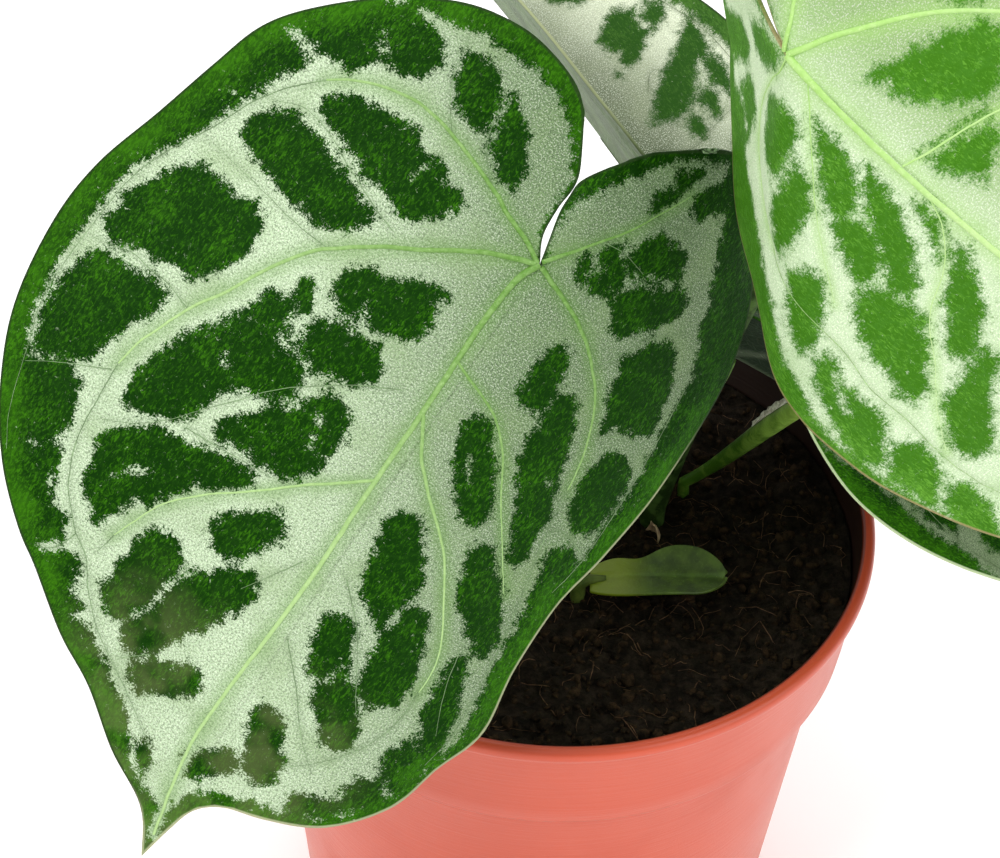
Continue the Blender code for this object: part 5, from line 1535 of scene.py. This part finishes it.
def make_stage(settings):
    """Pale floor, soft light from above and both sides, and the camera, all in metres."""
    floor_reach, middle = 6, Vector((0.0, 0.0, 0.15))
    bm = bmesh.new()
    bmesh.ops.create_grid(bm, x_segments=1, y_segments=1, size=floor_reach)
    floor = bpy.data.objects.new("floor", mesh_from(bm, "floor"))
    bpy.context.scene.collection.objects.link(floor)
    f = Finish("pale floor")
    tone = tuple(settings.stage.floor)
    tone = f.mix(f.spread(f.noise(f.coords(), 40.0, 3.0), 0.3, 0.7), tone,
                 scaled_colour(tone, 0.99))
    floor.data.materials.append(f.done(tone, 0.9, Emission_Color=(1, 1, 1, 1),
                                       Emission_Strength=0.12))
    view = bpy.context.scene.view_settings
    view.view_transform, view.look = "Standard", "None"
    world = bpy.data.worlds.new("studio")
    bpy.context.scene.world = world
    world.use_nodes = True
    sky = world.node_tree.nodes["Background"].inputs
    sky["Color"].default_value = (1, 1, 1, 1)
    sky["Strength"].default_value = settings.stage.room_light
    for name, place, size, power in (
            ("key", (-0.75, -0.55, 1.35), 1.0, settings.stage.key_light),
            ("fill", (0.95, -0.55, 0.85), 1.0, settings.stage.key_light * 0.55),
            ("top", (0.1, 0.6, 1.5), 1.2, settings.stage.key_light * 0.5)):
        data = bpy.data.lights.new(name, "AREA")
        data.shape, data.size, data.energy = "SQUARE", size, power
        light = bpy.data.objects.new(name, data)
        light.location = place
        light.rotation_euler = (middle - Vector(place)).to_track_quat("-Z", "Y").to_euler()
        bpy.context.scene.collection.objects.link(light)
    data = bpy.data.cameras.new("camera")
    data.lens, data.sensor_width, data.sensor_fit = CAMERA_LENS, CAMERA_FRAME, "HORIZONTAL"
    data.clip_start, data.clip_end = 0.02, 30
    camera = bpy.data.objects.new("camera", data)
    turn = Matrix((CAMERA_RIGHT, CAMERA_UP, CAMERA_BACK)).transposed().to_4x4()
    camera.matrix_world = Matrix.Translation([c * MM for c in CAMERA_PLACE]) @ turn
    bpy.context.scene.collection.objects.link(camera)
    bpy.context.scene.camera = camera


# The add-on.

class PotSettings(bpy.types.PropertyGroup):
    colour: bpy.props.FloatVectorProperty(
        name="Colour", description="Colour of the moulded plastic", subtype="COLOR",
        default=(0.57, 0.079, 0.032), min=0, max=1)
    shade: bpy.props.FloatVectorProperty(
        name="Shade", description="Second colour of its cloudy variation", subtype="COLOR",
        default=(0.53, 0.070, 0.028), min=0, max=1)


class SoilSettings(bpy.types.PropertyGroup):
    dark: bpy.props.FloatVectorProperty(
        name="Dark", description="Colour of the moist soil", subtype="COLOR",
        default=(0.0045, 0.0036, 0.0022), min=0, max=1)
    light: bpy.props.FloatVectorProperty(
        name="Light", description="Colour of its drier crumbs", subtype="COLOR",
        default=(0.020, 0.014, 0.009), min=0, max=1)
    crumbs: bpy.props.IntProperty(
        name="Crumbs", description="How many loose crumbs lie on the soil", default=2600, min=0)
    fibres: bpy.props.IntProperty(
        name="Fibres", description="How many peat fibres lie on the soil", default=420, min=0)


class LeafSettings(bpy.types.PropertyGroup):
    # Its lengths are in metres.
    deep: bpy.props.FloatVectorProperty(
        name="Deep green", description="Darkest green of the islands and border", subtype="COLOR",
        default=(0.004, 0.030, 0.001), min=0, max=1)
    bright: bpy.props.FloatVectorProperty(
        name="Bright green", description="Brighter green near the border", subtype="COLOR",
        default=(0.036, 0.155, 0.003), min=0, max=1)
    silver: bpy.props.FloatVectorProperty(
        name="Silver", description="Pale colour of the net", subtype="COLOR",
        default=(0.50, 0.635, 0.41), min=0, max=1)
    silver_shade: bpy.props.FloatVectorProperty(
        name="Silver shade", description="Grey-green specks in the net", subtype="COLOR",
        default=(0.155, 0.240, 0.112), min=0, max=1)
    rib: bpy.props.FloatVectorProperty(
        name="Rib", description="Colour of the main ribs", subtype="COLOR",
        default=(0.115, 0.255, 0.040), min=0, max=1)
    rib_far: bpy.props.FloatVectorProperty(
        name="Far rib", description="Colour of the ribs away from the petiole", subtype="COLOR",
        default=(0.40, 0.58, 0.24), min=0, max=1)
    petiole: bpy.props.FloatVectorProperty(
        name="Petiole", description="Colour of the petioles", subtype="COLOR",
        default=(0.20, 0.38, 0.08), min=0, max=1)
    underside: bpy.props.FloatVectorProperty(
        name="Underside", description="Colour of the leaf's underside", subtype="COLOR",
        default=(0.22, 0.34, 0.16), min=0, max=1)
    thickness: bpy.props.FloatProperty(
        name="Thickness", description="Thickness of the blade", subtype="DISTANCE", unit="LENGTH",
        default=BLADE_THICKNESS * MM, min=0.0002)
    quilting: bpy.props.FloatProperty(
        name="Quilting", description="How far the blade rises between its veins",
        subtype="DISTANCE", unit="LENGTH", default=0.0006, min=0)
    rib_size: bpy.props.FloatProperty(
        name="Rib size", description="Factor on the thickness of the ribs", default=0.85, min=0.1)


class StageSettings(bpy.types.PropertyGroup):
    floor: bpy.props.FloatVectorProperty(
        name="Floor", description="Colour of the floor", subtype="COLOR",
        default=(0.97, 0.97, 0.97), min=0, max=1)
    room_light: bpy.props.FloatProperty(
        name="Room light", description="Strength of the even light", default=0.55, min=0)
    key_light: bpy.props.FloatProperty(
        name="Key light", description="Power of the main soft light", subtype="POWER",
        default=16, min=0)


class PlantSettings(bpy.types.PropertyGroup):
    pot: bpy.props.PointerProperty(type=PotSettings)
    soil: bpy.props.PointerProperty(type=SoilSettings)
    leaf: bpy.props.PointerProperty(type=LeafSettings)
    stage: bpy.props.PointerProperty(type=StageSettings)


class ANTHURIUM_OT_stage(bpy.types.Operator):
    """Make the pale floor, the soft lights and the camera"""
    bl_idname = "anthurium.stage"
    bl_label = "Stage"

    def execute(self, context):
        make_stage(context.scene.anthurium)
        return {"FINISHED"}


class ANTHURIUM_OT_pot(bpy.types.Operator):
    """Make the plastic pot"""
    bl_idname = "anthurium.pot"
    bl_label = "Pot"

    def execute(self, context):
        make_pot(context.scene.anthurium)
        return {"FINISHED"}


class ANTHURIUM_OT_soil(bpy.types.Operator):
    """Make the soil with its crumbs and fibres"""
    bl_idname = "anthurium.soil"
    bl_label = "Soil"

    def execute(self, context):
        make_soil(context.scene.anthurium)
        return {"FINISHED"}


class ANTHURIUM_OT_crown(bpy.types.Operator):
    """Make the stem base with its dry sheaths"""
    bl_idname = "anthurium.crown"
    bl_label = "Crown"

    def execute(self, context):
        make_crown()
        return {"FINISHED"}


class ANTHURIUM_OT_leaves(bpy.types.Operator):
    """Make the patterned blades with their ribs and creases"""
    bl_idname = "anthurium.leaves"
    bl_label = "Leaves"

    def execute(self, context):
        for name in LEAVES:
            make_blade(name, context.scene.anthurium)
            make_ribs(name, context.scene.anthurium)
        return {"FINISHED"}


class ANTHURIUM_OT_petioles(bpy.types.Operator):
    """Make the petioles that carry the leaves"""
    bl_idname = "anthurium.petioles"
    bl_label = "Petioles"

    def execute(self, context):
        for name in LEAVES:
            make_petiole(name, context.scene.anthurium)
        return {"FINISHED"}


class ANTHURIUM_OT_young_leaf(bpy.types.Operator):
    """Make the young leaf above the soil"""
    bl_idname = "anthurium.young_leaf"
    bl_label = "Young leaf"

    def execute(self, context):
        make_young_leaf()
        return {"FINISHED"}


OPERATORS = (ANTHURIUM_OT_stage, ANTHURIUM_OT_pot, ANTHURIUM_OT_soil, ANTHURIUM_OT_crown,
             ANTHURIUM_OT_leaves, ANTHURIUM_OT_petioles, ANTHURIUM_OT_young_leaf)


class ANTHURIUM_PT_panel(bpy.types.Panel):
    """Settings and makers of the potted anthurium"""
    bl_label = "Anthurium"
    bl_idname = "ANTHURIUM_PT_panel"
    bl_space_type = "VIEW_3D"
    bl_region_type = "UI"
    bl_category = "Anthurium"

    def draw(self, context):
        settings = context.scene.anthurium
        for group in ("pot", "soil", "leaf", "stage"):
            box = self.layout.box()
            box.label(text=group.capitalize())
            values = getattr(settings, group)
            for key in values.__annotations__:
                box.prop(values, key)
        for operator in OPERATORS:
            self.layout.operator(operator.bl_idname)


CLASSES = (PotSettings, SoilSettings, LeafSettings, StageSettings, PlantSettings, *OPERATORS,
           ANTHURIUM_PT_panel)


def register():
    for item in CLASSES:
        bpy.utils.register_class(item)
    bpy.types.Scene.anthurium = bpy.props.PointerProperty(type=PlantSettings)


def unregister():
    del bpy.types.Scene.anthurium
    for item in reversed(CLASSES):
        bpy.utils.unregister_class(item)


def main():
    register()
    bpy.ops.anthurium.stage()
    bpy.ops.anthurium.pot()
    bpy.ops.anthurium.soil()
    bpy.ops.anthurium.crown()
    bpy.ops.anthurium.leaves()
    bpy.ops.anthurium.petioles()
    bpy.ops.anthurium.young_leaf()
    bpy.context.view_layer.update()


if __name__ == "__main__":
    main()
